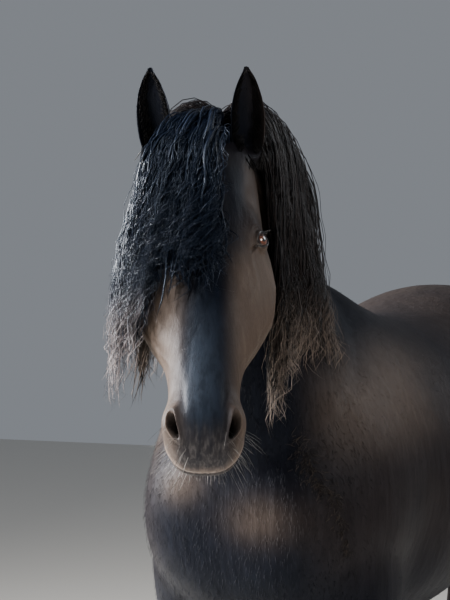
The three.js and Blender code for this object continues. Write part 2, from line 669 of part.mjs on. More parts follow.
// The mane falls to both sides of the crest, in two layers of locks.
const maneStrand = (name, u, above, length) => {
  const side = name === "left" ? 1 : -1;
  const t = THREE.MathUtils.lerp(maneFrom[name], maneTo, u);
  const away = scaled(headSide, side * 0.5).addScaledVector(headUp, 1);
  const root = crest(t).addScaledVector(headSide, side * 10);
  return comb({ root, away, length, steps: maneSteps, weight: maneWeight, above });
};
const mane = (name) => {
  const locks = [];
  for (let i = 0; i < maneLocks[name]; i++) {
    const u = ((i + 0.35 + 0.3 * chance()) / maneLocks[name]) ** 0.9;
    const above = i % 2 ? layerHeights[1] : layerHeights[0];
    const length = maneLength * (0.72 + 0.22 * u + 0.12 * chance());
    const width = lockWidth * (0.85 + 0.25 * chance());
    locks.push(lock(maneStrand(name, u, above, length), width, lockThickness, lockWave));
  }
  return joined(locks);
};

// The forelock springs from between the ears and is swept over the right side of the face.
const forelockStrand = (u, row, above, length) => {
  const root = headPlace(10 + 22 * row, -rootDepth * 0.7, THREE.MathUtils.lerp(...forelockRoots, u));
  const away = scaled(headForward, 1).addScaledVector(headUp, 1.6).addScaledVector(headSide, u - 1);
  const bulk = forelockBulk * THREE.MathUtils.smoothstep(1 - u, 0.4, 1);
  return comb({ root, away, length, steps: forelockSteps, weight: forelockWeight, above: above + bulk });
};
const forelock = () => {
  const locks = [];
  for (let i = 0; i < forelockLocks; i++) {
    const u = (i + 0.35 + 0.3 * chance()) / forelockLocks;
    const above = i % 2 ? layerHeights[1] : layerHeights[0];
    const length = forelockLength * (1 - 0.25 * u + 0.12 * chance());
    locks.push(lock(forelockStrand(u, i % 2, above, length), lockWidth * 0.75, lockThickness, lockWave));
  }
  return joined(locks);
};

// The tail's locks hang from all round the dock.
const tail = () => {
  const locks = [];
  for (let i = 0; i < tailLocks; i++) {
    const turn = ((i * 0.382 + 0.1 * chance()) % 1) * Math.PI * 1.5 - Math.PI * 0.75;
    const drop = 0.15 + (0.75 * (i + chance())) / tailLocks;
    const read = (name) => valueAt(column(dockRows, name), drop);
    const middle = place((read("ridgeA") + read("keelA")) / 2, (read("ridgeB") + read("keelB")) / 2, 0);
    const away = new THREE.Vector3(Math.sin(turn), Math.cos(turn), -1);
    const length = middle.z - THREE.MathUtils.lerp(...tailTip, chance());
    const above = tailSpread[i % 2] + 8 * chance();
    const strand = comb({ root: middle, away, length, steps: tailSteps, weight: tailWeight, above });
    locks.push(lock(strand, lockWidth * 1.1, lockThickness * 1.8, lockWave * 1.6));
  }
  return joined(locks);
};

// The feather stands round the back and sides of each fetlock and falls over the hoof.
const feather = (leg) => {
  const [middle, top] = leg.rows === foreRows ? [-150, 225] : [1060, 215];
  const locks = [];
  for (let i = 0; i < featherLocks; i++) {
    const turn = THREE.MathUtils.lerp(-1, 1, (i + 0.5) / featherLocks) * featherArc;
    const high = top + featherRise * Math.max(Math.cos(turn), 0) * (i % 2 ? 1 : 0.5) + 14 * chance();
    const out = new THREE.Vector3(Math.sin(turn), Math.cos(turn), 0);
    const root = legPlace(leg)(middle, high, 0);
    while (aboveHide(root).height < -rootDepth) root.addScaledVector(out, 3);
    const away = out.clone().addScaledVector(headUp, -1);
    const above = featherHeights[i % 2];
    const length = featherLength * (0.85 + 0.3 * chance()) + (high - top);
    const strand = comb({ root, away, length, steps: featherSteps, weight: featherWeight, above });
    locks.push(lock(strand, lockWidth, lockThickness, lockWave * 0.5));
  }
  return joined(locks);
};

// Hair keeps clear of the pieces it doesn't grow from, and the mane and forelock part behind the ears.
const clearOf = (hair, others, region = null) =>
  others.reduce((solid, other) => {
    const block = grown(other, hairGap);
    return solid.subtract(region ? block.intersect(region) : block);
  }, hair);
const withHair = (name, hair) => {
  pieces[name] = largest(joined([pieces[name], hair]));
};
const earBlocks = [ears.left.outside, ears.right.outside];
const parting = (forward, gap) => {
  const origin = headPlace(26, -36, 0).addScaledVector(headForward, -partingBehindEars + forward * gap);
  return space(origin, scaled(headForward, forward), [reach, reach, reach]);
};
const maneSolid = joined([mane("left"), mane("right")]).intersect(parting(-1, cutGap));
const trunkSide = space(neckBase, scaled(neckRise, -1), [reach, reach, reach], hairGap);
const shoulderBlocks = [torsoTube, neckTube, ...legTubes.slice(0, 2)];
withHair("neck", clearOf(clearOf(maneSolid, [headTube, ...earBlocks]), shoulderBlocks, trunkSide));
const eyeBlocks = [eyeBall(1, eyeRadius), eyeBall(-1, eyeRadius)];
withHair("head", clearOf(forelock().intersect(parting(1, cutGap)), [neckTube, ...earBlocks, ...eyeBlocks]));
const rumpSide = space(tailBase, scaled(tailAway, -1), [reach, reach, reach], hairGap);
withHair("tail", clearOf(clearOf(tail(), [torsoTube, ...legTubes.slice(2)]), [dockTube], rumpSide));
legs.forEach((leg, i) => withHair(leg.name, clearOf(feather(leg), [hooves[i]])));

const group = new THREE.Group();
const add = (name, solid, look) => {
  const mesh = new THREE.Mesh(asGeometry(solid), new THREE.MeshStandardMaterial(look));
  mesh.name = name;
  group.add(mesh);
};
Object.entries(pieces).forEach(([name, solid]) => add(name, solid, black));
add("eye_left", eyeBall(1, eyeRadius), eyeBrown);
add("eye_right", eyeBall(-1, eyeRadius), eyeBrown);
legs.forEach((leg, i) => add("hoof_" + leg.name, hooves[i], horn));
export default group;
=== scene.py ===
import math

import bpy
import numpy as np
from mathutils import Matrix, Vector
from mathutils.bvhtree import BVHTree


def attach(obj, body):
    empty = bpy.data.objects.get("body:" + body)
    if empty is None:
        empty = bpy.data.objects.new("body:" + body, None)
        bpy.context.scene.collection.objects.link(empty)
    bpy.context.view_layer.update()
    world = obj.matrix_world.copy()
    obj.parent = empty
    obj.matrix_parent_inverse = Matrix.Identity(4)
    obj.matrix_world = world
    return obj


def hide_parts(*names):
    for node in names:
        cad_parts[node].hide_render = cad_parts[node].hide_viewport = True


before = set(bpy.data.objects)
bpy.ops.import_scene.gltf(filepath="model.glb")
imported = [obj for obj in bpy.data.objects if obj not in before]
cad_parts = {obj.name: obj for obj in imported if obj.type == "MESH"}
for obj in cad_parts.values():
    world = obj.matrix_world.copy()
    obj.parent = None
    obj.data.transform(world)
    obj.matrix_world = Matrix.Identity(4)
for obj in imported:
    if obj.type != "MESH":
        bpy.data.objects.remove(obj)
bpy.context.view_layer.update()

# A Friesian stallion at life size. The horse faces -Y, its left side is +X. The scene is in metres, and the
# tables of the body are in millimetres.
stance = {
    "bodyForward": -242,        # Y of the withers
    "legSpread": 150,
    "hoofHeight": 92,
    "kneeTop": 1000,            # a leg swings below this height
    "poll": (-650, 1860, 78),   # from the withers: forward, up, left
    "headTurn": math.radians(25),
    "headTilt": math.radians(28),
    "headScale": 0.955,
}

# Each row: ridge along and up, keel along and up, half width, widest level, fullness over and under it.
torsoRows = [
    (-402, 1175, -398, 1085, 70, 0, 1, 1),
    (-392, 1262, -378, 1008, 146, 0, 1, 1),
    (-345, 1350, -338, 950, 199, -0.1, 1, 0.95),
    (-255, 1455, -270, 898, 228, -0.15, 1.05, 0.9),
    (-140, 1540, -150, 862, 245, -0.15, 1.2, 0.88),
    (0, 1600, 0, 842, 258, -0.1, 1.45, 0.88),
    (130, 1565, 130, 838, 282, -0.12, 1.3, 0.9),
    (270, 1528, 270, 842, 300, -0.12, 1.12, 0.92),
    (410, 1517, 410, 853, 306, -0.08, 1.0, 0.95),
    (550, 1530, 550, 877, 298, 0.0, 0.95, 1.0),
    (680, 1560, 680, 918, 284, 0.15, 0.92, 1.0),
    (800, 1582, 800, 968, 290, 0.2, 0.95, 1.0),
    (920, 1575, 920, 1010, 290, 0.15, 0.98, 0.95),
    (1030, 1535, 1030, 1060, 272, 0.1, 1.0, 0.95),
    (1120, 1465, 1118, 1110, 226, 0, 1.05, 0.95),
    (1172, 1385, 1172, 1165, 150, 0, 1, 1),
    (1190, 1310, 1190, 1225, 70, 0, 1, 1),
]
foreRows = [
    (-250, 1190, -70, 1170, 60, 0, 1, 1),
    (-310, 1120, -10, 1090, 88, 0, 0.95, 0.95),
    (-322, 1030, 18, 1000, 98, 0, 0.95, 0.95),
    (-298, 945, 20, 935, 96, 0.05, 0.95, 0.95),
    (-266, 870, -28, 865, 84, 0.1, 0.95, 1),
    (-242, 790, -68, 790, 70, 0.1, 0.95, 1),
    (-222, 700, -96, 700, 55, 0.05, 0.95, 1),
    (-214, 610, -108, 610, 50, 0, 0.95, 1),
    (-212, 550, -110, 550, 49, 0.1, 0.9, 1),
    (-217, 500, -101, 500, 56, 0.2, 0.85, 1),
    (-214, 452, -96, 452, 55, 0.2, 0.85, 1.05),
    (-201, 405, -108, 405, 45, 0.1, 0.9, 1),
    (-193, 340, -112, 340, 36, 0, 0.95, 1),
    (-193, 268, -110, 268, 35, 0, 0.95, 1),
    (-200, 222, -98, 222, 44, 0, 0.95, 1),
    (-208, 180, -96, 178, 47, 0, 0.95, 1),
    (-219, 144, -120, 140, 43, 0, 0.95, 1),
    (-231, 110, -130, 106, 51, 0, 0.95, 1),
    (-236, 92, -129, 92, 57, 0, 0.95, 1),
]
hindRows = [
    (800, 1420, 1060, 1380, 76, 0, 1, 1),
    (756, 1310, 1150, 1300, 100, 0, 1, 1),
    (726, 1210, 1184, 1210, 122, 0, 0.95, 0.95),
    (706, 1110, 1186, 1120, 132, 0, 0.95, 0.95),
    (698, 1010, 1160, 1030, 124, 0.1, 0.95, 1),
    (712, 935, 1122, 945, 108, 0.15, 0.95, 1),
    (758, 862, 1096, 868, 88, 0.15, 0.95, 1),
    (826, 785, 1086, 790, 72, 0.1, 0.95, 1),
    (890, 715, 1096, 718, 59, 0.05, 0.95, 1.1),
    (938, 655, 1142, 662, 51, 0.1, 0.9, 1.2),
    (970, 600, 1164, 620, 53, 0.25, 0.85, 1.2),
    (990, 548, 1150, 556, 53, 0.25, 0.85, 1.15),
    (1004, 490, 1116, 490, 43, 0.15, 0.9, 1.05),
    (1016, 410, 1104, 410, 35, 0, 0.95, 1),
    (1020, 320, 1106, 320, 33, 0, 0.95, 1),
    (1014, 252, 1112, 252, 38, 0, 0.95, 1),
    (1004, 208, 1120, 206, 46, 0, 0.95, 1),
    (992, 170, 1110, 168, 45, 0, 0.95, 1),
    (974, 136, 1076, 132, 42, 0, 0.95, 1),
    (958, 108, 1060, 105, 50, 0, 0.95, 1),
    (952, 92, 1060, 92, 55, 0, 0.95, 1),
]
headRows = [
    (-42, -60, -10, -150, 50, 0, 1, 1),
    (-4, -8, 46, -214, 80, 0.1, 1, 1),
    (52, 12, 98, -262, 92, 0.15, 0.95, 0.9),
    (112, 22, 150, -284, 98, 0.15, 0.9, 0.8),
    (168, 24, 200, -284, 104, 0.1, 0.9, 0.75),
    (222, 18, 248, -266, 116, 0.05, 0.95, 0.72),
    (282, 9, 300, -232, 122, -0.05, 1.05, 0.75),
    (342, 2, 352, -196, 115, -0.1, 1.1, 0.8),
    (402, -4, 406, -166, 93, -0.05, 1.05, 0.85),
    (460, -8, 460, -143, 68, 0.05, 1, 0.9),
    (514, -8, 512, -134, 60, 0.15, 1, 0.9),
    (560, -10, 556, -138, 66, 0.2, 0.95, 0.9),
    (596, -20, 590, -144, 64, 0.2, 0.95, 0.95),
    (622, -38, 614, -140, 54, 0.1, 0.95, 0.95),
    (640, -62, 630, -126, 38, 0, 1, 1),
    (646, -82, 640, -108, 16, 0, 1, 1),
]
neckRows = [
    (40, 1520, -300, 1090, 160, -0.2, 1.3, 1),
    (-10, 1602, -385, 1190, 178, -0.3, 1.5, 0.95),
    (-125, 1700, -432, 1325, 140, -0.35, 1.45, 0.95),
    (-270, 1808, -458, 1450, 118, -0.3, 1.3, 0.95),
    (-412, 1874, -474, 1548, 102, -0.2, 1.15, 0.95),
    (-535, 1890, -500, 1622, 90, -0.1, 1.1, 1),
    (-622, 1868, -535, 1672, 76, 0, 1, 1),
    (-662, 1834, -580, 1712, 50, 0, 1, 1),
]
dockRows = [
    (1080, 1500, 1090, 1400, 34, 0, 1, 1),
    (1150, 1462, 1130, 1378, 34, 0, 1, 1),
    (1218, 1430, 1176, 1358, 31, 0, 1, 1),
    (1262, 1372, 1202, 1330, 27, 0, 1, 1),
    (1280, 1290, 1226, 1282, 22, 0, 1, 1),
    (1278, 1210, 1238, 1208, 17, 0, 1, 1),
    (1270, 1150, 1246, 1150, 9, 0, 1, 1),
]

# Muscles and hollows: place, reach along the three directions, and height.
torsoMuscles = [
    (-150, 1190, 225, 130, 210, 90, 22),   # shoulder and upper arm
    (-235, 1390, 200, 60, 120, 90, 10),    # front edge of the blade
    (-388, 1090, 78, 70, 95, 62, 20),      # breast muscles
    (-395, 1100, 0, 60, 120, 22, -12),     # groove between them
    (30, 1010, 250, 70, 110, 80, -12),     # behind the elbow
    (900, 1360, 240, 170, 150, 110, 16),   # haunch
    (690, 1290, 270, 70, 120, 80, -14),    # hollow of the flank
    (790, 1500, 235, 50, 50, 70, 10),      # point of the hip
    (1130, 1260, 120, 70, 90, 70, 12),     # buttock
]
foreMuscles = [(-190, 860, 60, 60, 80, 60, 8), (10, 935, 30, 30, 45, 60, 8)]
hindMuscles = [(740, 965, 40, 50, 50, 80, 8), (930, 860, 60, 80, 70, 60, 8), (1130, 1160, 60, 60, 120, 80, 8)]
headMuscles = [
    (186, -22, 92, 40, 20, 30, 9),         # brow over the eye
    (132, -26, 82, 22, 18, 22, -7),        # hollow above the brow
    (300, -92, 100, 62, 13, 30, 6),        # facial crest
    (175, -185, 90, 75, 60, 40, 8),        # cheek
    (400, -88, 62, 55, 26, 22, -5),        # hollow in front of the cheek
    (565, -46, 62, 34, 30, 22, 6),         # nostril wing
    (512, -30, 44, 26, 16, 18, -4),        # false nostril
    (592, -144, 0, 26, 20, 34, 8),         # chin
    (260, -262, 0, 130, 30, 24, -16),      # between the jaw bones
    (22, -34, 84, 38, 32, 26, 13),         # root of the ear
]
legs = {
    "foreleg_left": {"rows": foreRows, "muscles": foreMuscles, "side": 1, "step": -34},
    "foreleg_right": {"rows": foreRows, "muscles": foreMuscles, "side": -1, "step": 30},
    "hindleg_left": {"rows": hindRows, "muscles": hindMuscles, "side": 1, "step": -70},
    "hindleg_right": {"rows": hindRows, "muscles": hindMuscles, "side": -1, "step": 24},
}

mm = 0.001


def smooth(value, low, high):
    t = np.clip((np.asarray(value, float) - low) / (high - low), 0, 1)
    return t * t * (3 - 2 * t)


def bell(value, reach):
    return np.exp(-(np.asarray(value, float) / reach) ** 2)


def unit(vectors):
    return vectors / np.maximum(np.linalg.norm(vectors, axis=-1, keepdims=True), 1e-9)


# A smooth curve through the values, read at t from 0 to 1.
def readAlong(values, t):
    values = np.asarray(values, float)
    spot = np.clip(np.asarray(t, float), 0, 1) * (len(values) - 1)
    i = np.minimum(spot.astype(int), len(values) - 2)
    f = spot - i
    before = values[np.maximum(i - 1, 0)]
    beyond = values[np.minimum(i + 2, len(values) - 1)]
    slopeIn = (values[i + 1] - before) / 2
    slopeOut = (beyond - values[i]) / 2
    return (
        values[i] * (2 * f**3 - 3 * f**2 + 1)
        + slopeIn * (f**3 - 2 * f**2 + f)
        + values[i + 1] * (3 * f**2 - 2 * f**3)
        + slopeOut * (f**3 - f**2)
    )


# Places in the scene from a table's along, up and left
def bodyPlace(a, b, x, t=None):
    a, b, x = np.broadcast_arrays(*(np.asarray(v, float) for v in (a, b, x)))
    return np.stack([x, a + stance["bodyForward"], b], -1) * mm


def legPlace(leg):
    def placed(a, b, x, t=None):
        swing = leg["step"] * (1 - smooth(b, stance["hoofHeight"], stance["kneeTop"]))
        wide = stance["legSpread"] + np.asarray(x, float)
        return bodyPlace(np.asarray(a, float) + swing, b, leg["side"] * wide)
    return placed


headForward = np.array([math.sin(stance["headTurn"]), -math.cos(stance["headTurn"]), 0])
headSide = np.array([math.cos(stance["headTurn"]), math.sin(stance["headTurn"]), 0])
headUp = np.array([0.0, 0.0, 1.0])
faceDown = headForward * math.sin(stance["headTilt"]) - headUp * math.cos(stance["headTilt"])
faceOut = headForward * math.cos(stance["headTilt"]) + headUp * math.sin(stance["headTilt"])
poll = bodyPlace(*stance["poll"])


def headPlace(down, out, left, t=None):
    down, out, left = (np.asarray(v, float)[..., None] for v in (down, out, left))
    scale = stance["headScale"] * mm
    return poll + faceDown * down * scale + faceOut * out * scale + headSide * left * mm


def headRead(points):
    away = points - poll
    scale = stance["headScale"] * mm
    return away @ faceDown / scale, away @ faceOut / scale, away @ headSide / mm


def neckPlace(a, b, x, t):
    bend = smooth(t, 0.15, 1)
    turn = stance["headTurn"] * bend
    shift = stance["poll"][2] * bend**1.2
    x = np.asarray(x, float)
    return bodyPlace(np.asarray(a, float) + x * np.sin(turn), b, shift + x * np.cos(turn))


def muscled(muscles):
    def height(a, b, x):
        total = np.zeros(len(a))
        for atA, atB, atX, reachA, reachB, reachX, rise in muscles:
            total += rise * bell(a - atA, reachA) * bell(b - atB, reachB) * bell(np.abs(x) - atX, reachX)
        return total
    return height


# Mesh helpers
def only(*pieces):
    bpy.ops.object.select_all(action="DESELECT")
    for piece in pieces:
        piece.select_set(True)
    bpy.context.view_layer.objects.active = pieces[0]


def corners(piece):
    flat = np.empty(len(piece.data.vertices) * 3, np.float32)
    piece.data.vertices.foreach_get("co", flat)
    return flat.reshape(-1, 3).astype(float)


def setCorners(piece, points):
    piece.data.vertices.foreach_set("co", np.asarray(points, np.float32).ravel())
    piece.data.update()


def outwards(piece):
    flat = np.empty(len(piece.data.vertices) * 3, np.float32)
    piece.data.vertex_normals.foreach_get("vector", flat)
    return flat.reshape(-1, 3).astype(float)


def tidyShell(piece):
    only(piece)
    bpy.ops.object.mode_set(mode="EDIT")
    bpy.ops.mesh.select_all(action="SELECT")
    bpy.ops.mesh.remove_doubles(threshold=1e-5)
    bpy.ops.mesh.normals_make_consistent(inside=False)
    bpy.ops.object.mode_set(mode="OBJECT")


def joinAll(name, pieces):
    only(*pieces)
    if len(pieces) > 1:
        bpy.ops.object.join()
    pieces[0].name = name
    pieces[0].data.name = name
    return pieces[0]


def finish(piece, kind, settings):
    made = piece.modifiers.new(kind.lower(), kind)
    for key, value in settings.items():
        setattr(made, key, value)
    only(piece)
    bpy.ops.object.modifier_apply(modifier=made.name)


def voxelSkin(piece, size):
    only(piece)
    piece.data.remesh_voxel_size = size
    piece.data.remesh_voxel_adaptivity = 0
    bpy.ops.object.voxel_remesh()


def store(piece, name, values):
    layer = piece.data.attributes.get(name) or piece.data.attributes.new(name, "FLOAT", "POINT")
    layer.data.foreach_set("value", np.asarray(values, np.float32).ravel())


def treeOf(pieces):
    points, faces = [], []
    for piece in pieces:
        start = len(points)
        points.extend(v.co.copy() for v in piece.data.vertices)
        faces.extend([start + i for i in p.vertices] for p in piece.data.polygons)
    return BVHTree.FromPolygons(points, faces)


# A closed tube through rows: a grid wrapped round, with its end rows drawn to a point.
def tube(name, rows, place, around, along, shape=None):
    bpy.ops.object.select_all(action="DESELECT")
    bpy.ops.mesh.primitive_grid_add(x_subdivisions=around, y_subdivisions=along + 2, size=2, calc_uvs=False)
    piece = bpy.context.object
    piece.name = name
    flat = corners(piece)
    angle = (flat[:, 0] + 1) * math.pi
    row = np.rint((1 - flat[:, 1]) / 2 * (along + 2))
    t = np.clip((row - 1) / along, 0, 1)
    cap = (row == 0) | (row == along + 2)
    read = [readAlong(column, t) for column in zip(*rows)]
    ridgeA, ridgeB, keelA, keelB, width, widest, ridgeFull, keelFull = read
    across = np.sin(angle)
    up = np.cos(angle)
    full = np.where(up > 0, ridgeFull, keelFull)
    x = np.sign(across) * np.abs(across) ** full * width
    level = widest + np.where(up > 0, 1 - widest, 1 + widest) * up
    coreA = (ridgeA + keelA) / 2 + (ridgeA - keelA) / 2 * widest
    coreB = (ridgeB + keelB) / 2 + (ridgeB - keelB) / 2 * widest
    a = (ridgeA + keelA) / 2 + (ridgeA - keelA) / 2 * level
    b = (ridgeB + keelB) / 2 + (ridgeB - keelB) / 2 * level
    if shape is not None:
        way = unit(np.stack([a - coreA, b - coreB, x], -1))
        rise = shape(a, b, x)
        a, b, x = a + way[:, 0] * rise, b + way[:, 1] * rise, x + way[:, 2] * rise
    a, b, x = np.where(cap, coreA, a), np.where(cap, coreB, b), np.where(cap, 0, x)
    setCorners(piece, place(a, b, x, t))
    tidyShell(piece)
    return piece


# Hooves with growth rings
hoofLook = {"ringDepth": 0.55, "rings": 11, "around": 72, "along": 44}


def makeHoof(name, leg):
    h = stance["hoofHeight"]
    ridge, keel, toe, heel = (-236, -129, -306, -146) if leg["rows"] is foreRows else (952, 1060, 886, 1040)
    rows = [
        (ridge - 2, h - 0.35, keel + 2, h - 0.35, 58, 0, 0.95, 0.95),
        (ridge - 9, h - 8, keel + 3, h - 10, 62, 0, 0.95, 0.9),
        ((ridge + toe) / 2, h / 2, (keel + heel) / 2, h / 2, 68, 0, 0.95, 0.85),
        (toe + 6, 9, heel, 9, 74, 0, 0.95, 0.8),
        (toe, 0, heel, 0, 75, 0, 0.95, 0.8),
    ]

    def rings(a, b, x):
        wave = np.sin(b / h * 2 * math.pi * hoofLook["rings"]) - 1
        return hoofLook["ringDepth"] * wave * smooth(b, 4, 14)

    piece = tube("hoof_" + name + "_wall", rows, legPlace(leg), hoofLook["around"], hoofLook["along"], rings)
    points = corners(piece)
    points[:, 2] = np.maximum(points[:, 2], 0)
    setCorners(piece, points)
    only(piece)
    bpy.ops.object.shade_smooth_by_angle(angle=math.radians(40))
    return piece


hooves = {name: makeHoof(name, leg) for name, leg in legs.items()}
print("hooves", len(hooves))


# Skin: the trunk and legs are one coarse remesh, the head and throat a fine one, bridged across the neck.
skinLook = {
    "trunkVoxel": 0.0132,
    "headVoxel": 0.0044,
    "trunkSmoothing": 14,
    "depth": 1.0,               # of the coat over the skin, mm
    "cutAt": 0.571,             # along the neck
    "headSmoothing": 5,
    "throatSmoothing": 90,      # where the head's form meets the throat's
    "fineRoundEyes": (0.043, 0.033),    # faces within each reach are cut in four
    "fineRoundNostrils": 0.034,
    "cutGap": 0.014,
    "eyeAt": (214, -44, 86),
    "eyeForward": 0.72,
    "eyeSlant": 38,
    "lidRadius": 0.0252,
    "nostrilAt": (581, -19, 57),
    "mouthLevel": -92,
}
eyeRadius = 0.021


def eyeCentre(side):
    down, out, left = skinLook["eyeAt"]
    return headPlace(down, out, side * left)


# The eye's own directions: out of the opening, along it, and towards the brow.
def eyeFrame(side):
    out = unit(headSide * side + faceOut * skinLook["eyeForward"])
    brow = unit(np.cross(faceDown, out)) * side
    if brow @ faceOut < 0:
        brow = -brow
    slit = unit(np.cross(brow, out))
    if slit @ faceDown < 0:
        slit = -slit
    turn = math.radians(skinLook["eyeSlant"])
    return out, slit * math.cos(turn) + brow * math.sin(turn), brow * math.cos(turn) - slit * math.sin(turn)


def ball(name, centre, radius):
    bpy.ops.object.select_all(action="DESELECT")
    bpy.ops.mesh.primitive_ico_sphere_add(subdivisions=4, radius=radius, location=centre)
    only(bpy.context.object)
    bpy.ops.object.transform_apply(location=True, rotation=True, scale=True)
    bpy.context.object.name = name
    return bpy.context.object


def neckCut():
    t = skinLook["cutAt"]
    ridgeA, ridgeB, keelA, keelB = (readAlong(column, t) for column in list(zip(*neckRows))[:4])
    middle = neckPlace((ridgeA + keelA) / 2, (ridgeB + keelB) / 2, 0, t)
    acrossWay = neckPlace((ridgeA + keelA) / 2, (ridgeB + keelB) / 2, 50, t) - middle
    upWay = neckPlace(ridgeA, ridgeB, 0, t) - neckPlace(keelA, keelB, 0, t)
    way = unit(np.cross(acrossWay, upWay))
    return middle, way if way[1] < 0 else -way


def cutAway(piece, point, way, keepFront):
    only(piece)
    bpy.ops.object.mode_set(mode="EDIT")
    bpy.ops.mesh.select_all(action="SELECT")
    bpy.ops.mesh.bisect(plane_co=point, plane_no=way, clear_inner=keepFront, clear_outer=not keepFront)
    bpy.ops.object.mode_set(mode="OBJECT")


# Cuts the faces within a reach of a place in four.
def refine(piece, centre, reach):
    near = np.linalg.norm(corners(piece) - centre, axis=1) < reach
    only(piece)
    mesh = piece.data
    mesh.vertices.foreach_set("select", np.zeros(len(mesh.vertices), bool))
    mesh.edges.foreach_set("select", np.zeros(len(mesh.edges), bool))
    starts = np.empty(len(mesh.polygons), np.int32)
    totals = np.empty(len(mesh.polygons), np.int32)
    loops = np.empty(len(mesh.loops), np.int32)
    mesh.polygons.foreach_get("loop_start", starts)
    mesh.polygons.foreach_get("loop_total", totals)
    mesh.loops.foreach_get("vertex_index", loops)
    chosen = np.minimum.reduceat(near[loops].astype(int), starts) > 0
    mesh.polygons.foreach_set("select", chosen)
    bpy.ops.object.mode_set(mode="EDIT")
    bpy.ops.mesh.select_mode(type="FACE")
    bpy.ops.mesh.subdivide(number_cuts=1, smoothness=0)
    bpy.ops.mesh.select_mode(type="VERT")
    bpy.ops.object.mode_set(mode="OBJECT")


# Eye openings: an almond, flatter below than above, with full lids round it. Millimetres.
lidLook = {
    "halfLength": 20,
    "halfHeight": (11.5, 9.5),      # above and below the corners
    "corner": (21, 2.4),            # where the almond closes, and how blunt it is there
    "rings": [0, 0.88, 0.97, 1.1, 1.28, 1.5, 1.68, 1.95, 2.4],          # outwards, 1 is the lid's edge
    "heights": [14.5, 15.5, 20.2, 23.6, 24.9, 25.2, 24.1, 26.3, 26.5],  # at the rings
    "blend": (1.75, 2.5),
    "reach": 0.045,
    "folds": (1.3, 1.0, 0.7),       # depths, upwards from the lid
    "foldsFrom": 21,
    "foldsApart": 6.5,
}


def shapeLids(points, lid, side):
    centre = eyeCentre(side)
    look, slit, brow = eyeFrame(side)
    away = points - centre
    along = away @ slit / mm
    height = away @ brow / mm
    corner, blunt = lidLook["corner"]
    halfHeight = np.where(height > 0, *lidLook["halfHeight"])
    halfHeight = halfHeight * np.sqrt(np.clip(1 - (np.abs(along) / corner) ** blunt, 0.01, 1))
    ring = np.sqrt((along / lidLook["halfLength"]) ** 2 + (height / np.maximum(halfHeight, 2)) ** 2 * 0.9)
    ring = np.maximum(ring, np.abs(along) / lidLook["halfLength"])
    near = (away @ look > 0) & (np.linalg.norm(away, axis=1) < lidLook["reach"])
    blend = np.where(near, 1 - smooth(ring, *lidLook["blend"]), 0)
    profile = np.interp(ring, lidLook["rings"], lidLook["heights"]) * mm
    target = centre + unit(away) * profile[:, None]
    lid[:] = np.maximum(lid, np.where(near, bell(ring - 1.15, 0.22), 0))
    return points + (target - points) * blend[:, None]


def foldLids(points, rise, side):
    look, slit, brow = eyeFrame(side)
    away = (points - eyeCentre(side)) / mm
    along, height, front = away @ slit, away @ brow, away @ look
    arch = height + 0.018 * along**2
    for k, depth in enumerate(lidLook["folds"]):
        fold = arch - lidLook["foldsFrom"] - lidLook["foldsApart"] * k
        rise -= np.where(front > -5, depth * bell(fold, 1.9) * bell(along + 3, 18), 0)
    rise += np.where(front > -10, 1.8 * bell(arch - 30, 7) * bell(along, 24), 0)
    rise += np.where(front > -14, -1.5 * bell(height + 19, 3.0) * bell(along + 4, 17), 0)


# Nostrils: a comma whose upper end narrows and leans inwards. Millimetres.
nostrilLook = {
    "halfLength": 19.5,
    "halfWidth": 7.2,
    "narrowing": 0.05,
    "bend": 0.006,
    "depth": 26,
    "rim": 3.6,
    "groove": 1.6,      # round the rim
    "reach": 42,
}


def nostrilCentre(side):
    down, out, left = skinLook["nostrilAt"]
    return headPlace(down, out, side * left)


def shapeNostril(points, rise, push, hole, side):
    longWay = unit(faceDown - headSide * side * 0.20)
    inWay = unit(-faceOut * 0.80 - headSide * side * 0.60)
    acrossWay = unit(np.cross(inWay, longWay))
    away = (points - nostrilCentre(side)) / mm
    along = away @ longWay
    wide = away @ acrossWay * (1 if (acrossWay @ headSide) * side > 0 else -1)
    lean = wide + nostrilLook["bend"] * (along - 4) ** 2 - 1.5
    halfWidth = nostrilLook["halfWidth"] - nostrilLook["narrowing"] * along
    ring = np.sqrt((along / nostrilLook["halfLength"]) ** 2 + (lean / halfWidth) ** 2)
    near = np.abs(away @ inWay) < nostrilLook["reach"]
    pit = np.where(near, 1 - smooth(ring, 0.55, 1.12), 0)
    push += inWay * (pit * nostrilLook["depth"] * mm)[:, None]
    rim = np.where(near, bell(ring - 1.42, 0.30), 0) * (0.7 + 0.5 * smooth(-along, -18, 12))
    rise += rim * nostrilLook["rim"]
    rise -= np.where(near, bell(ring - 2.25, 0.34), 0) * nostrilLook["groove"]
    hole[:] = np.maximum(hole, pit)


# Heights and depths of the mouth's forms, mm
mouthLook = {
    "line": 7.0,
    "upperLip": 2.6,
    "lowerLip": 2.4,
    "cleft": 1.6,
    "lipFolds": (4, 0.8),       # how many, and how deep
    "chinFolds": (3, 0.9),
}


# How far over the line between the lips
def lipLevel(down, out, left):
    return out - skinLook["mouthLevel"] - 4 * bell(left, 22) + 0.10 * np.maximum(604 - down, 0)


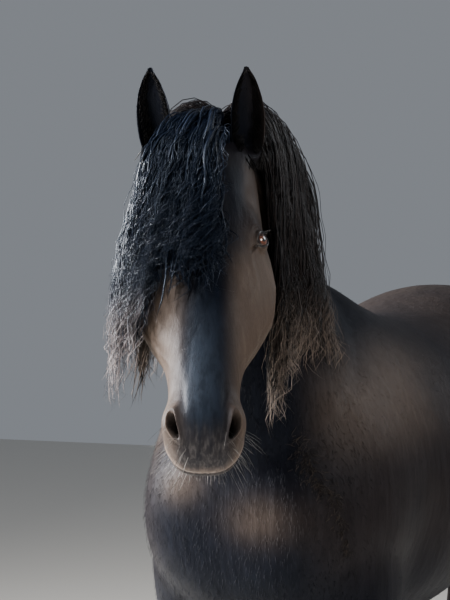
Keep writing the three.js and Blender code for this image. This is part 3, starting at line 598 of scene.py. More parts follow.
def shapeMouth(rise, down, out, left):
    level = lipLevel(down, out, left)
    upper = mouthLook["upperLip"] * bell(level - 11, 8)
    lower = mouthLook["lowerLip"] * bell(level + 10, 7)
    rise += smooth(down, 540, 556) * (-mouthLook["line"] * bell(level, 3.2) + upper + lower)
    rise -= mouthLook["cleft"] * bell(left, 4.5) * smooth(down, 585, 615) * smooth(level, 4, 16)
    count, depth = mouthLook["lipFolds"]
    for k in range(count):
        fold = np.abs(left) - (22 + 7.5 * k) - 0.16 * (down - 596)
        fade = smooth(down, 578, 594) * smooth(level, 2, 12) * (1 - smooth(down, 622, 636))
        rise -= depth * bell(fold, 1.7) * fade
    count, depth = mouthLook["chinFolds"]
    for k in range(count):
        rise -= depth * bell(out + 128 + 5 * np.sin(left * 0.05 + k) - 8 * k, 2.2) * smooth(down, 560, 580)


# Veins over cheek and nose: each one's start down and out on the face, its bend, length and height
veins = [
    (238, -22, -16, 120, 1.2),
    (262, -96, 30, 190, 1.7),
    (300, -120, -26, 120, 1.3),
    (350, -78, 40, 130, 1.4),
    (230, -150, 20, 130, 1.1),
]


def shapeFace(rise, down, out, left):
    # the false nostril's crease, from the nostril up along the nose
    crease = np.abs(left) - 33 - 0.10 * (552 - down)
    fade = smooth(down, 494, 515) * (1 - smooth(down, 548, 566)) * smooth(out, -60, -30)
    rise -= 3.0 * bell(crease, 3.4) * fade
    for startDown, startOut, bend, length, high in veins:
        run = (down - startDown) / length
        line = startOut + bend * run + 5 * np.sin(run * 9)
        fade = smooth(run, 0, 0.15) * (1 - smooth(run, 0.85, 1)) * smooth(np.abs(left), 40, 70)
        rise += high * bell(out - line, 3.4) * fade
    # the nose bone's edges and the ridge of bone down its middle
    fade = smooth(down, 290, 340) * (1 - smooth(down, 470, 520)) * smooth(out, -40, -18)
    rise += 1.6 * bell(np.abs(left) - 40, 9) * fade
    fade = smooth(down, 60, 120) * (1 - smooth(down, 250, 330)) * smooth(out, -10, 8)
    rise += 1.2 * bell(left, 12) * fade


def sculptHead(piece):
    points = corners(piece)
    normals = outwards(piece)
    lid, hole, rise = np.zeros((3, len(points)))
    push = np.zeros_like(points)
    for side in (1, -1):
        points = shapeLids(points, lid, side)
    face = headRead(points)
    for side in (1, -1):
        shapeNostril(points, rise, push, hole, side)
        foldLids(points, rise, side)
    shapeMouth(rise, *face)
    shapeFace(rise, *face)
    setCorners(piece, points + push + normals * (rise * mm)[:, None])
    store(piece, "lid", lid)
    store(piece, "hole", hole)


# Ears, in millimetres
bothEars = {"length": 182, "sunk": 34, "wall": 5, "guard": 10, "parting": 12}
earLook = {
    "earLeft": {**bothEars, "side": 1, "spread": 75, "lean": 7},
    "earRight": {**bothEars, "side": -1, "spread": 80, "lean": 15},
}
earWidths = [12, 26, 32, 34, 33, 28, 18, 3]     # half, from the root to the tip
earDepths = [12, 23, 24, 21, 17, 12, 8, 2]      # half


def earFrame(side):
    up = unit(headUp + headSide * side * 0.08 + headForward * 0.06)
    front = unit(headForward + headSide * side * 0.42)
    return up, front, unit(np.cross(up, front))


def earBase(settings):
    return headPlace(26, -36, settings["side"] * settings["spread"])


# How far the ear's middle line leans across, at a share of its length
def earLean(settings, run):
    return -settings["side"] * 9 * run**2 - settings["lean"] * run


def makeEar(name, settings):
    up, front, across = earFrame(settings["side"])
    bpy.ops.object.select_all(action="DESELECT")
    bpy.ops.mesh.primitive_grid_add(x_subdivisions=64, y_subdivisions=72, size=2, calc_uvs=False)
    piece = bpy.context.object
    piece.name = name
    flat = corners(piece)
    angle = (flat[:, 0] + 1) * math.pi
    run = (flat[:, 1] + 1) / 2
    width = readAlong(earWidths, run)
    depth = readAlong(earDepths, run)
    wall = np.minimum(settings["wall"], depth * 0.45)
    # the back is a half round; the front is the same round pushed in, closed at the root
    sideWay = np.sin(angle)
    frontHalf = np.cos(angle) > 0
    openness = smooth(run, 0.10, 0.30)
    cup = -(depth - wall) * np.sqrt(np.clip(1 - sideWay**2, 0, 1))
    frontDepth = depth * 0.55 * np.cos(angle) * (1 - openness) + cup * openness
    outward = np.where(frontHalf, frontDepth, depth * np.cos(angle))
    narrow = np.where(frontHalf, 1 - 0.10 * openness, 1.0)
    cap = (flat[:, 1] < -0.999) | (flat[:, 1] > 0.999)
    x = np.where(cap, 0, width * sideWay * narrow) + earLean(settings, run)
    outward = np.where(cap, 0, outward)
    # the rims roll a little forward
    outward = outward + 4.5 * np.abs(sideWay) ** 6 * openness * (1 - smooth(run, 0.9, 1))
    points = (
        earBase(settings)
        + up * (settings["length"] * run - settings["sunk"])[:, None] * mm
        + across * x[:, None] * mm
        + front * outward[:, None] * mm
    )
    setCorners(piece, points)
    tidyShell(piece)
    return piece


def makeSkin():
    tubes = [
        tube("trunk", torsoRows, bodyPlace, 120, 150, muscled(torsoMuscles)),
        tube("neckRear", neckRows, neckPlace, 96, 90),
        tube("dock", dockRows, bodyPlace, 32, 40),
    ]
    for name, leg in legs.items():
        tubes.append(tube(name + "Form", leg["rows"], legPlace(leg), 48, 150, muscled(leg["muscles"])))
    trunk = joinAll("skin", tubes)
    voxelSkin(trunk, skinLook["trunkVoxel"])
    finish(trunk, "SMOOTH", {"factor": 0.5, "iterations": skinLook["trunkSmoothing"]})
    head = joinAll("headSkin", [
        tube("face", headRows, headPlace, 128, 200, muscled(headMuscles)),
        tube("throat", neckRows, neckPlace, 96, 90),
        ball("lidLeft", eyeCentre(1), skinLook["lidRadius"]),
        ball("lidRight", eyeCentre(-1), skinLook["lidRadius"]),
    ])
    voxelSkin(head, skinLook["headVoxel"])
    down, out = headRead(corners(head))[:2]
    seam = head.vertex_groups.new(name="seam")
    weight = np.maximum(smooth(-out, 120, 190) * (1 - smooth(down, 190, 260)), 1 - smooth(down, -10, 60))
    for step in range(1, 11):
        chosen = np.nonzero(np.rint(weight * 10) == step)[0]
        seam.add(chosen.tolist(), step / 10, "REPLACE")
    finish(head, "SMOOTH", {"factor": 0.5, "iterations": skinLook["headSmoothing"]})
    seamSettings = {"factor": 0.7, "iterations": skinLook["throatSmoothing"], "vertex_group": "seam"}
    finish(head, "SMOOTH", seamSettings)
    middle, way = neckCut()
    cutAway(trunk, middle - way * skinLook["cutGap"], way, False)
    cutAway(head, middle, way, True)
    for side in (1, -1):
        for reach in skinLook["fineRoundEyes"]:
            refine(head, eyeCentre(side), reach)
        refine(head, nostrilCentre(side), skinLook["fineRoundNostrils"])
    sculptHead(head)
    skin = joinAll("skin", [trunk, head])
    only(skin)
    bpy.ops.object.mode_set(mode="EDIT")
    bpy.ops.mesh.select_all(action="DESELECT")
    bpy.ops.mesh.select_mode(type="EDGE")
    bpy.ops.mesh.select_non_manifold(
        extend=False, use_wire=False, use_boundary=True, use_multi_face=False, use_non_contiguous=False,
        use_verts=False,
    )
    bpy.ops.mesh.bridge_edge_loops()
    bpy.ops.mesh.select_mode(type="VERT")
    bpy.ops.object.mode_set(mode="OBJECT")
    bare = treeOf([skin, *hooves.values()])
    skin = joinAll("skin", [skin, *(makeEar(name, settings) for name, settings in earLook.items())])
    skin.vertex_groups.clear()
    only(skin)
    bpy.ops.object.shade_smooth()
    # the bare skin lies under the coat
    setCorners(skin, corners(skin) - outwards(skin) * skinLook["depth"] * mm)
    print("skin", sum(len(p.vertices) - 2 for p in skin.data.polygons), "triangles")
    return skin, bare


skin, bareTree = makeSkin()


# Eyes: a ball with a clear bulge in front, painted by how far each point is from the middle of the pupil.
eyeLook = {
    "gap": 0.0002,
    "share": 0.965,         # of the socket's radius, before the bulge
    "bulge": 0.055,
    "bulgeWidth": 34,       # degrees
    "segments": 64,
    "rings": 48,
}


def makeEye(name, side):
    out, slit, brow = eyeFrame(side)
    centre = eyeCentre(side)
    bpy.ops.object.select_all(action="DESELECT")
    bpy.ops.mesh.primitive_uv_sphere_add(
        segments=eyeLook["segments"], ring_count=eyeLook["rings"], radius=1, calc_uvs=False
    )
    piece = bpy.context.object
    piece.name = name
    local = corners(piece)
    angle = np.degrees(np.arccos(np.clip(local[:, 2], -1, 1)))
    bulge = 1 + eyeLook["bulge"] * bell(angle, eyeLook["bulgeWidth"])
    reach = (eyeRadius - eyeLook["gap"]) * eyeLook["share"]
    ways = local[:, 0:1] * slit + local[:, 1:2] * brow + local[:, 2:3] * out
    setCorners(piece, centre + ways * (reach * bulge)[:, None])
    tidyShell(piece)
    away = corners(piece) - centre
    store(piece, "slitWay", away @ slit / mm)
    store(piece, "browWay", away @ brow / mm)
    store(piece, "outWay", away @ out / mm)
    only(piece)
    bpy.ops.object.shade_smooth()
    return piece


eyes = {"eye_left": makeEye("eyeball_left", 1), "eye_right": makeEye("eyeball_right", -1)}
print("eyes", len(eyes))

# Hair
hairDraw = np.random.default_rng(4711)
skinTree = treeOf([skin])
downWay = Vector((0, 0, -1))
tipFloor = 0.014


# Combs one strand over the skin: it leaves its root the given way, turns down over the bend's length and lies
# above the skin. The steps grow longer towards the tip.
def comb(root, away, length, steps, bend, above, tree):
    point = Vector(root)
    heading = Vector(away).normalized()
    out = heading.copy()
    stations = [tuple(point)]
    outs = [None]
    walked = 0
    for i in range(steps):
        step = length * (0.25 + 1.5 * (i + 0.5) / steps) / steps
        walked += step
        heading = heading.lerp(downWay, 1 - math.exp(-step / bend)).normalized()
        ahead = point + heading * step
        spot, normal, _, gap = tree.find_nearest(ahead)
        offset = ahead - spot
        if offset.dot(normal) < 0:
            gap = -gap
        lift = above * min(1, walked / 0.045)
        if gap < lift:
            outward = normal if abs(gap) < 1e-4 else offset.normalized() * (1 if gap > 0 else -1)
            ahead = ahead + outward * (lift - gap)
        heading = (ahead - point).normalized()
        point = point + heading * step
        point.z = max(point.z, tipFloor)
        if gap < 0.12:
            out = normal
        stations.append(tuple(point))
        outs.append(tuple(out))
    outs[0] = outs[1]
    return np.array(stations), np.array(outs)


# Where a root lies on the skin's own unwrap: each form has an island, along its axis and round it. An island is
# given by its corner and size, and those of the legs stand one over the other.
bakeLayout = {
    "trunk": ((0, 0), (0.6, 0.5)),
    "neck": ((0.6, 0), (0.4, 0.35)),
    "head": ((0, 0.5), (0.6, 0.5)),
    "legs": ((0.6, 0.35), (0.4, 0.16)),
}


def bakeSpots(points):
    down, out, left = headRead(points)
    x, y, z = (points / mm).T
    along = y - stance["bodyForward"]
    spots = np.zeros((len(points), 2))

    def island(chosen, u, v, corner, size):
        uv = np.stack([np.clip(u, 0, 1), np.clip(v, 0, 1)], -1) * (np.array(size) - 0.01)
        spots[chosen] = (uv + np.array(corner) + 0.005)[chosen]

    turn = np.arctan2(x, z - 1200) / (2 * math.pi) + 0.5
    island(np.ones(len(points), bool), (along + 420) / 1620, turn, *bakeLayout["trunk"])
    neck = (along < -40) & (z > 1640 - (along + 40) * -0.92) | (along < -330) & (z > 1300)
    neckTurn = np.arctan2(x - 40, z - 1600) / (2 * math.pi) + 0.5
    island(neck, (-along - 20) / 660, neckTurn, *bakeLayout["neck"])
    head = (down > -40) & (down < 700) & (np.abs(left) < 170) & (out > -300) & (along < -480)
    headTurn = np.arctan2(left, out + 110) / (2 * math.pi) + 0.5
    island(head, (down + 40) / 720, headTurn, *bakeLayout["head"])
    (edge, low), size = bakeLayout["legs"]
    for k, leg in enumerate(legs.values()):
        fore = leg["rows"] is foreRows
        mid = -160 if fore else 1010
        below = (z < (880 if fore else 1000)) & ((along < 300) == fore) & (x * leg["side"] > 0)
        legTurn = np.arctan2(x - leg["side"] * 150, along - mid) / (2 * math.pi) + 0.5
        island(below, z / 1000, legTurn, (edge, low + size[1] * k), size)
    return spots


bakePatch = 0.0015      # half the side of a strand's patch on its OFBake map
hairTaper = {
    "broad": [0.7, 1, 1, 0.97, 0.9, 0.72, 0.4],
    "fine": [0.9, 1, 1, 1, 0.92, 0.75, 0.35],
    "tuft": [1, 0.9, 0.5],
}


# The corners of strands: rings of three along each, and one corner for its tip
def strandCorners(paths, outs, widths, thickness, taper):
    count, stations = paths.shape[:2]
    ahead = unit(np.gradient(paths, axis=1))
    across = unit(np.cross(ahead, outs))
    across[:, 0] = across[:, 1]
    for k in range(1, stations):
        flip = np.sum(across[:, k] * across[:, k - 1], axis=1) < 0
        across[flip, k] *= -1
        across[:, k] = unit(across[:, k] * 0.6 + across[:, k - 1] * 0.4)
    up = unit(np.cross(across, ahead))
    size = readAlong(hairTaper[taper], np.linspace(0, 1, stations))[None, :, None]
    half = widths[:, None, None] * size
    thick = thickness[:, None, None] * size
    rings = np.stack([
        paths - across * half - up * thick * 0.4,
        paths + across * half - up * thick * 0.4,
        paths + up * thick * 0.8,
    ], 2)[:, :-1]
    return np.concatenate([rings.reshape(count, -1, 3), paths[:, -1:]], 1).reshape(-1, 3)


# The faces between those corners: four-sided along each strand, three-sided at its tip and root
def strandFaces(start, count, ringCount):
    each = ringCount * 3 + 1
    base = (start + np.arange(count) * each)[:, None, None]
    k = np.arange(ringCount - 1)[None, :, None] * 3
    j = np.arange(3)[None, None, :]
    n = (j + 1) % 3
    quads = np.stack([base + k + j, base + k + n, base + k + 3 + n, base + k + 3 + j], -1)
    root = base[:, :, 0]
    ring = root + (ringCount - 1) * 3
    tips = np.stack([ring + j[0], ring + n[0], np.broadcast_to(ring + 3, (count, 3))], -1)
    roots = np.concatenate([root + 2, root + 1, root], -1)
    return quads.reshape(-1, 4), np.concatenate([tips.reshape(-1, 3), roots])


# One closed mesh of many strands. Each is a flat three-sided prism that ends in a point.
def strandMesh(name, bundles):
    allPoints, allQuads, allTris, tints, alongs, acrosses, bakes = [], [], [], [], [], [], []
    start = 0
    for paths, outs, widths, thickness, tint, taper, spots in bundles:
        count, stations = paths.shape[:2]
        rings = stations - 1
        each = rings * 3 + 1
        quads, tris = strandFaces(start, count, rings)
        t = np.linspace(0, 1, stations)
        allPoints.append(strandCorners(paths, outs, widths, thickness, taper))
        allQuads.append(quads)
        allTris.append(tris)
        alongs.append(np.tile(np.concatenate([np.repeat(t[:rings], 3), [1.0]]), count))
        acrosses.append(np.tile(np.concatenate([np.tile([-1.0, 1.0, 0.0], rings), [0.0]]), count))
        tints.append(np.repeat(tint, each))
        bakes.append(np.repeat(spots, each, axis=0))
        start += count * each
    points = np.concatenate(allPoints)
    quads = np.concatenate(allQuads)
    tris = np.concatenate(allTris)
    along, across, tint, bake = map(np.concatenate, (alongs, acrosses, tints, bakes))
    mesh = bpy.data.meshes.new(name)
    mesh.vertices.add(len(points))
    mesh.vertices.foreach_set("co", points.astype(np.float32).ravel())
    order = np.concatenate([quads.ravel(), tris.ravel()]).astype(np.int32)
    mesh.loops.add(len(order))
    mesh.loops.foreach_set("vertex_index", order)
    totals = np.concatenate([np.full(len(quads), 4), np.full(len(tris), 3)]).astype(np.int32)
    mesh.polygons.add(len(totals))
    mesh.polygons.foreach_set("loop_start", np.concatenate([[0], np.cumsum(totals)[:-1]]).astype(np.int32))
    mesh.polygons.foreach_set("use_smooth", np.ones(len(totals), bool))
    mesh.update(calc_edges=True)
    layer = mesh.uv_layers.new(name="OFBake")
    uv = bake[order] + np.stack([across[order], along[order] * 2 - 1], -1) * bakePatch
    layer.uv.foreach_set("vector", np.clip(uv, 0, 1).astype(np.float32).ravel())
    piece = bpy.data.objects.new(name, mesh)
    bpy.context.scene.collection.objects.link(piece)
    store(piece, "along", along)
    store(piece, "across", across)
    store(piece, "tint", tint)
    print(name, len(quads) * 2 + len(tris), "triangles")
    return piece


gatherLook = {
    "phase": 0.35,              # how far the waves of one lock differ
    "rate": (0.96, 1.04),
    "curled": 0.45,             # share of strands with curled tips
    "curl": 0.017,
    "curlFrom": 0.72,
}


# Gathers strands towards guides near their roots, gives each guide its own waves and curls the tips of some.
def gather(paths, outs, guideCount, pull, wave, waveLength, own, stream):
    draw = np.random.default_rng(977 + stream)
    count, stations = paths.shape[:2]
    picks = draw.choice(count, min(guideCount, count), replace=False)
    away = np.linalg.norm(paths[:, None, 2] - paths[None, picks, 2], axis=-1)
    nearest = np.argmin(away, axis=1)
    guide = paths[picks][nearest]
    t = np.linspace(0, 1, stations)[None, :, None]
    spread = draw.normal(0, own, (count, 1, 3))
    strength = pull * draw.uniform(0.5, 1.2, (count, 1, 1))
    pulled = paths + (guide + spread * (1 - 0.3 * t) - paths) * (strength * np.clip(t * 1.6, 0, 1) ** 0.8)
    ahead = unit(np.gradient(pulled, axis=1))
    across = unit(np.cross(ahead, outs))
    lengths = np.linalg.norm(np.diff(pulled, axis=1), axis=-1)
    walked = np.concatenate([np.zeros((count, 1)), np.cumsum(lengths, 1)], 1)
    each = (count, 1, 1)
    phase = draw.uniform(0, 2 * math.pi, len(picks))[nearest][:, None, None]
    phase = phase + draw.normal(0, gatherLook["phase"], each)
    rate = draw.uniform(0.55, 1.35, len(picks))[nearest][:, None, None]
    rate = rate * draw.uniform(*gatherLook["rate"], each)
    turn = phase + walked[:, :, None] / waveLength * rate * 2 * math.pi
    size = wave * (0.15 + 1.05 * t) * np.clip(t * 4, 0, 1) * draw.uniform(0.4, 1.5, each)
    curl = np.where(draw.random(each) < gatherLook["curled"], gatherLook["curl"], 0.0)
    curl = curl * np.clip((t - gatherLook["curlFrom"]) / (1 - gatherLook["curlFrom"]), 0, 1)
    return pulled + across * np.sin(turn) * (size + curl) + outs * np.cos(turn) * (size * 0.45 + curl)


# The same strands read at more stations, which stand closer together near the root
def finer(paths, stations):
    steps = paths.shape[1] - 1
    share = np.concatenate([[0], np.cumsum(0.25 + 1.5 * (np.arange(steps) + 0.5) / steps)])
    spot = np.interp(np.linspace(0, 1, stations) ** 1.4, share / share[-1], np.arange(steps + 1))
    i = np.minimum(spot.astype(int), steps - 1)
    f = (spot - i)[None, :, None]
    here, following = paths[:, i], paths[:, i + 1]
    slopeIn = (following - paths[:, np.maximum(i - 1, 0)]) / 2
    slopeOut = (paths[:, np.minimum(i + 2, steps)] - here) / 2
    return (
        here * (2 * f**3 - 3 * f**2 + 1) + slopeIn * (f**3 - 2 * f**2 + f)
        + following * (3 * f**2 - 2 * f**3) + slopeOut * (f**3 - f**2)
    )


def combAll(plans, steps, stations):
    made = [comb(p["root"], p["away"], p["length"], steps, p["bend"], p["above"], bareTree) for p in plans]
    paths, outs = (finer(np.array(part), stations) for part in zip(*made))
    return paths, unit(outs)


# Ends strands of the forelock above the middle of the face, each at a height of its own
def trimmed(paths, outs, settings):
    count, stations = paths.shape[:2]
    down, _, left = (values.reshape(count, stations) for values in headRead(paths.reshape(-1, 3)))
    limit = settings["down"] + settings["slope"] * (left - settings["side"])
    limit = limit + hairDraw.normal(0, settings["ragged"], (count, 1))
    over = (down > limit) & (left > settings["side"])
    first = np.where(over.any(axis=1), np.argmax(over, axis=1), stations - 1)
    spot = np.linspace(0, 1, stations)[None] * np.maximum(first, stations // 3)[:, None]
    i = np.minimum(spot.astype(int), stations - 2)
    f = (spot - i)[:, :, None]
    row = np.arange(count)[:, None]
    paths = paths[row, i] * (1 - f) + paths[row, i + 1] * f
    outs = outs[row, i] * (1 - f) + outs[row, i + 1] * f
    return paths, unit(outs)


# Which strands keep clear of both ears, and of the space in front of them if they grow behind
def clearOfEars(paths, behind):
    keep = np.ones(len(paths), bool)
    for settings in earLook.values():
        up, front, across = earFrame(settings["side"])
        away = (paths - earBase(settings)) / mm
        run = (away @ up + settings["sunk"]) / settings["length"]
        width = readAlong(earWidths, run) + settings["guard"]
        depth = readAlong(earDepths, run) + settings["guard"]
        wide = away @ across - earLean(settings, run)
        inside = (wide / width) ** 2 + (away @ front / depth) ** 2 < 1
        high = (run > 0.2) & (run < 1.08)
        if behind:
            inside |= (away @ headForward > -settings["parting"]) & (np.abs(wide) < 75)
        keep &= ~np.any(inside & high, axis=1)
    return keep


# Long hair has broad strands below and fine ones above. Counts, stations and widths are of each kind.
hairLook = {
    "broadHeights": (4, 19),    # over the skin, mm
    "fineHeights": (9, 29),
    "broadWidth": (0.0014, 0.0034),
    "broadThickness": 0.0012,
    "fineThickness": 0.0008,
    "behindEars": True,
}
maneLook = {
    **hairLook, "to": 0.945, "bend": 0.046, "broad": 560, "fine": 660, "steps": 13, "broadStations": 17,
    "fineStations": 33, "fineWidth": (0.0006, 0.0014),
}
maneLooks = {
    "maneLeft": {
        **maneLook, "side": 1, "length": 0.665, "from": 0.42,
        "guides": 60, "wave": 0.006, "waveLength": 0.11,
    },
    "maneRight": {
        **maneLook, "side": -1, "length": 0.600, "from": 0.14,
        "guides": 80, "wave": 0.007, "waveLength": 0.10,
    },
}


def crestAt(t, depth):
    ridgeA, ridgeB = (readAlong(column, t) for column in list(zip(*neckRows))[:2])
    return neckPlace(ridgeA, ridgeB - depth, 0, t)


def manePlans(look, count, low, high):
    side = look["side"]
    plans = []
    for i in range(count):
        u = ((i + hairDraw.random()) / count) ** 0.9
        t = look["from"] + (look["to"] - look["from"]) * u
        above = low + (high - low) * hairDraw.random()
        offset = side * (1 + 15 * hairDraw.random()) * mm
        away = headSide * side * (0.25 + 0.5 * hairDraw.random()) + headUp
        away = away + headForward * 0.25 * (hairDraw.random() - 0.5)
        length = look["length"] * (0.60 + 0.30 * u + 0.14 * hairDraw.random() - 0.2 * hairDraw.random() ** 3)
        plans.append({
            "root": crestAt(t, 6) + headSide * offset, "away": away, "length": length,
            "bend": look["bend"] * (0.75 + 0.5 * hairDraw.random()), "above": above * mm,
        })
    return plans


# The forelock falls to the horse's right. It is trimmed where it would hide the cheek.
forelockLook = {
    **hairLook, "length": 0.400, "bend": 0.050, "bulk": 8, "broad": 460, "fine": 760, "steps": 12,
    "broadStations": 16, "fineStations": 31, "fineWidth": (0.0006, 0.0013), "behindEars": False,
    "trim": {"down": 292, "side": -84, "slope": 0.10, "ragged": 44},
}
forelockLooks = {
    "forelock": {**forelockLook, "guides": 64, "wave": 0.0070, "waveLength": 0.060},
    "forelockFine": {
        **forelockLook, "broad": 40, "fine": 880, "fineWidth": (0.0004, 0.0009), "guides": 120,
        "wave": 0.0060, "waveLength": 0.050, "broadHeights": (20, 26), "fineHeights": (14, 34),
    },
}


def forelockPlans(look, count, low, high):
    plans = []
    for _ in range(count):
        u = hairDraw.random()
        row = hairDraw.random()
        sweep = 1.1 * (u - 1.08) + 0.22 * (hairDraw.random() - 0.5)
        away = headForward + headUp * (0.9 + 0.8 * hairDraw.random()) + headSide * sweep
        bulk = look["bulk"] * float(smooth(1 - u, 0.4, 1))
        length = look["length"] * (1.32 - 0.5 * u) * (1.04 - 0.5 * hairDraw.random() ** 1.5)
        plans.append({
            "root": headPlace(-30 + 60 * row, -4 - 14 * (1 - row), -46 + 96 * u),
            "away": away, "length": length,
            "bend": look["bend"] * (0.75 + 0.5 * hairDraw.random()),
            "above": (low + (high - low) * hairDraw.random() + bulk) * mm,
        })
    return plans


tailLook = {
    **hairLook, "tip": (120, 330), "bend": 0.06, "broad": 560, "fine": 620, "steps": 14, "broadStations": 17,
    "fineStations": 32, "fineWidth": (0.0009, 0.002), "guides": 70, "wave": 0.009, "waveLength": 0.16,
}


def tailPlans(look, count, low, high):
    plans = []
    lowest, highest = look["tip"]
    for _ in range(count):
        turn = (hairDraw.random() - 0.5) * math.pi * 1.5
        drop = 0.12 + 0.8 * hairDraw.random()
        ridgeA, ridgeB, keelA, keelB, width = (readAlong(column, drop) for column in list(zip(*dockRows))[:5])
        middle = bodyPlace((ridgeA + keelA) / 2, (ridgeB + keelB) / 2, 0)
        out = np.array([math.sin(turn), math.cos(turn), 0])
        plans.append({
            "root": middle + out * (width * 0.8) * mm, "away": out + np.array([0, 0.2, -0.9]),
            "length": middle[2] - (lowest + (highest - lowest) * hairDraw.random()) * mm,
            "bend": look["bend"], "above": (low + (high - low) * hairDraw.random()) * mm,
        })
    return plans


# Half as many strands again are combed, and those that touch the ears are left out.
def hairPiece(name, plansFor, look):
    def grow(kind, *gathering):
        count = look[kind]
        plans = plansFor(look, int(count * 1.5), *look[kind + "Heights"])
        paths, outs = combAll(plans, look["steps"], look[kind + "Stations"])
        if "trim" in look:
            paths, outs = trimmed(paths, outs, look["trim"])
        paths = gather(paths, outs, look["guides"], *gathering)
        chosen = np.nonzero(clearOfEars(paths, look["behindEars"]))[0]
        chosen = np.sort(hairDraw.permutation(chosen)[:count])
        return paths[chosen], outs[chosen]

    def bundle(kind, paths, outs, tint):
        widths = hairDraw.uniform(*look[kind + "Width"], len(paths))
        thickness = np.full(len(paths), look[kind + "Thickness"])
        tints = hairDraw.random(len(paths)) * tint
        return paths, outs, widths, thickness, tints, kind, bakeSpots(paths[:, 0])

    broad = grow("broad", 0.35, look["wave"] * 0.6, look["waveLength"] * 1.5, 0.004, 3)
    fine = grow("fine", 0.62, look["wave"], look["waveLength"], 0.005, 5)
    return strandMesh(name, [bundle("broad", *broad, 0.5), bundle("fine", *fine, 1)])


hairPieces = {name: hairPiece(name, manePlans, look) for name, look in maneLooks.items()}
for name, look in forelockLooks.items():
    hairPieces[name] = hairPiece(name, forelockPlans, look)
hairPieces["tailHair"] = hairPiece("tailHair", tailPlans, tailLook)

featherLook = {
    "arc": 2.5, "rise": 62, "length": 0.185, "bend": 0.030, "each": 640, "fringe": 0.36,
    "steps": 6, "stations": 11, "guides": 26, "pull": 0.5, "wave": 0.004, "waveLength": 0.08,
    "width": (0.0014, 0.0040), "thickness": 0.001,
}


def featherPlans(leg, count):
    middle, top = (-150, 225) if leg["rows"] is foreRows else (1060, 215)
    plans = []
    for i in range(count):
        fringe = i < count * featherLook["fringe"]
        turn = (hairDraw.random() * 2 - 1) * (math.pi if fringe else featherLook["arc"])
        rise = featherLook["rise"] * max(math.cos(turn), 0)
        high = top + rise * hairDraw.random() + 14 * hairDraw.random() - 6
        if fringe:
            high = 104 + 90 * hairDraw.random()
        out = np.array([math.sin(turn), math.cos(turn), 0])
        centre = legPlace(leg)(middle, high, 0)
        hit = skinTree.ray_cast(Vector(centre), Vector(out), 0.2)[0]
        root = np.array(hit) - out * 0.003 if hit is not None else centre
        plans.append({
            "root": root, "away": out * (0.35 if fringe else 0.9) - headUp,
            "length": featherLook["length"] * (0.75 + 0.4 * hairDraw.random()) + (high - top) * mm,
            "bend": featherLook["bend"], "above": (3 + (6 if fringe else 17) * hairDraw.random()) * mm,
        })
    return plans


for name, leg in legs.items():
    plans = featherPlans(leg, featherLook["each"])
    paths, outs = combAll(plans, featherLook["steps"], featherLook["stations"])
    waves = featherLook["wave"], featherLook["waveLength"]
    paths = gather(paths, outs, featherLook["guides"], featherLook["pull"], *waves, 0.004, 11)
    count = len(paths)
    hairPieces["feather_" + name] = strandMesh("feather_" + name, [(
        paths, outs, hairDraw.uniform(*featherLook["width"], count), np.full(count, featherLook["thickness"]),
        hairDraw.random(count), "fine", bakeSpots(paths[:, 0]),
    )])

# Short coat: tufts that lie along the body and break its outline.
coatLook = {
    "count": 16500,
    "length": 0.0085,
    "width": 0.00042,
    "stray": 0.18,
    "raised": 0.13,             # how steeply the tufts stand
    "raisedOnChest": 0.08,      # more than that
    "raisedOnHead": 0.10,
    "sunk": 0.0015,
}


# How far along the body points are, their height, their place on the face, and which are on the head
def coatRead(points):
    along = points[:, 1] / mm - stance["bodyForward"]
    down, out, _ = headRead(points)
    head = (down > -20) & (down < 700) & (out > -300) & (along < -480)
    return along, points[:, 2] / mm, down, out, head


# How densely the tufts stand: most where the body's outline shows them
def coatWeight(points, normals):
    along, z, down, out, head = coatRead(points)
    weight = np.full(len(points), 0.5)
    weight += 2.5 * (1 - smooth(along, -330, -180)) * smooth(z, 850, 950) * (1 - smooth(z, 1500, 1620))
    weight += 1.6 * smooth(-normals[:, 2], 0.3, 0.9) * (z > 700)
    weight += 1.2 * (1 - smooth(along, -100, 100)) * (z > 900)
    weight = np.where(head, 0.9 + 3.0 * smooth(-out, 140, 220) + 1.2 * smooth(down, 585, 630), weight)
    return np.where(z < 100, 0, weight)


# The way of the coat: down the front, back and down along the trunk, down the face
def coatWay(points, normals):
    along, z, _, _, head = coatRead(points)
    back = smooth(along, -300, 200)[:, None]
    way = np.array([0, 0.15, -1.0]) * (1 - back) + np.array([0, 1.0, -0.55]) * back
    way = np.where((z < 800)[:, None], np.array([0, 0.12, -1.0]), way)
    way = np.where(head[:, None], faceDown - faceOut * 0.2, way)
    way = way - normals * np.sum(way * normals, axis=1, keepdims=True)
    return unit(way)


def samplePoints(piece, count, weigh):
    mesh = piece.data
    mesh.calc_loop_triangles()
    tris = np.empty(len(mesh.loop_triangles) * 3, np.int32)
    mesh.loop_triangles.foreach_get("vertices", tris)
    tris = tris.reshape(-1, 3)
    points = corners(piece)
    normals = outwards(piece)
    a, b, c = points[tris[:, 0]], points[tris[:, 1]], points[tris[:, 2]]
    area = np.linalg.norm(np.cross(b - a, c - a), axis=1) / 2
    weight = area * weigh((a + b + c) / 3, unit(normals[tris].sum(1)))
    picks = hairDraw.choice(len(tris), count, p=weight / weight.sum())
    r, s = np.sqrt(hairDraw.random(count)), hairDraw.random(count)
    mix = np.stack([1 - r, r * (1 - s), r * s], -1)[:, :, None]
    return (points[tris[picks]] * mix).sum(1), unit((normals[tris[picks]] * mix).sum(1))


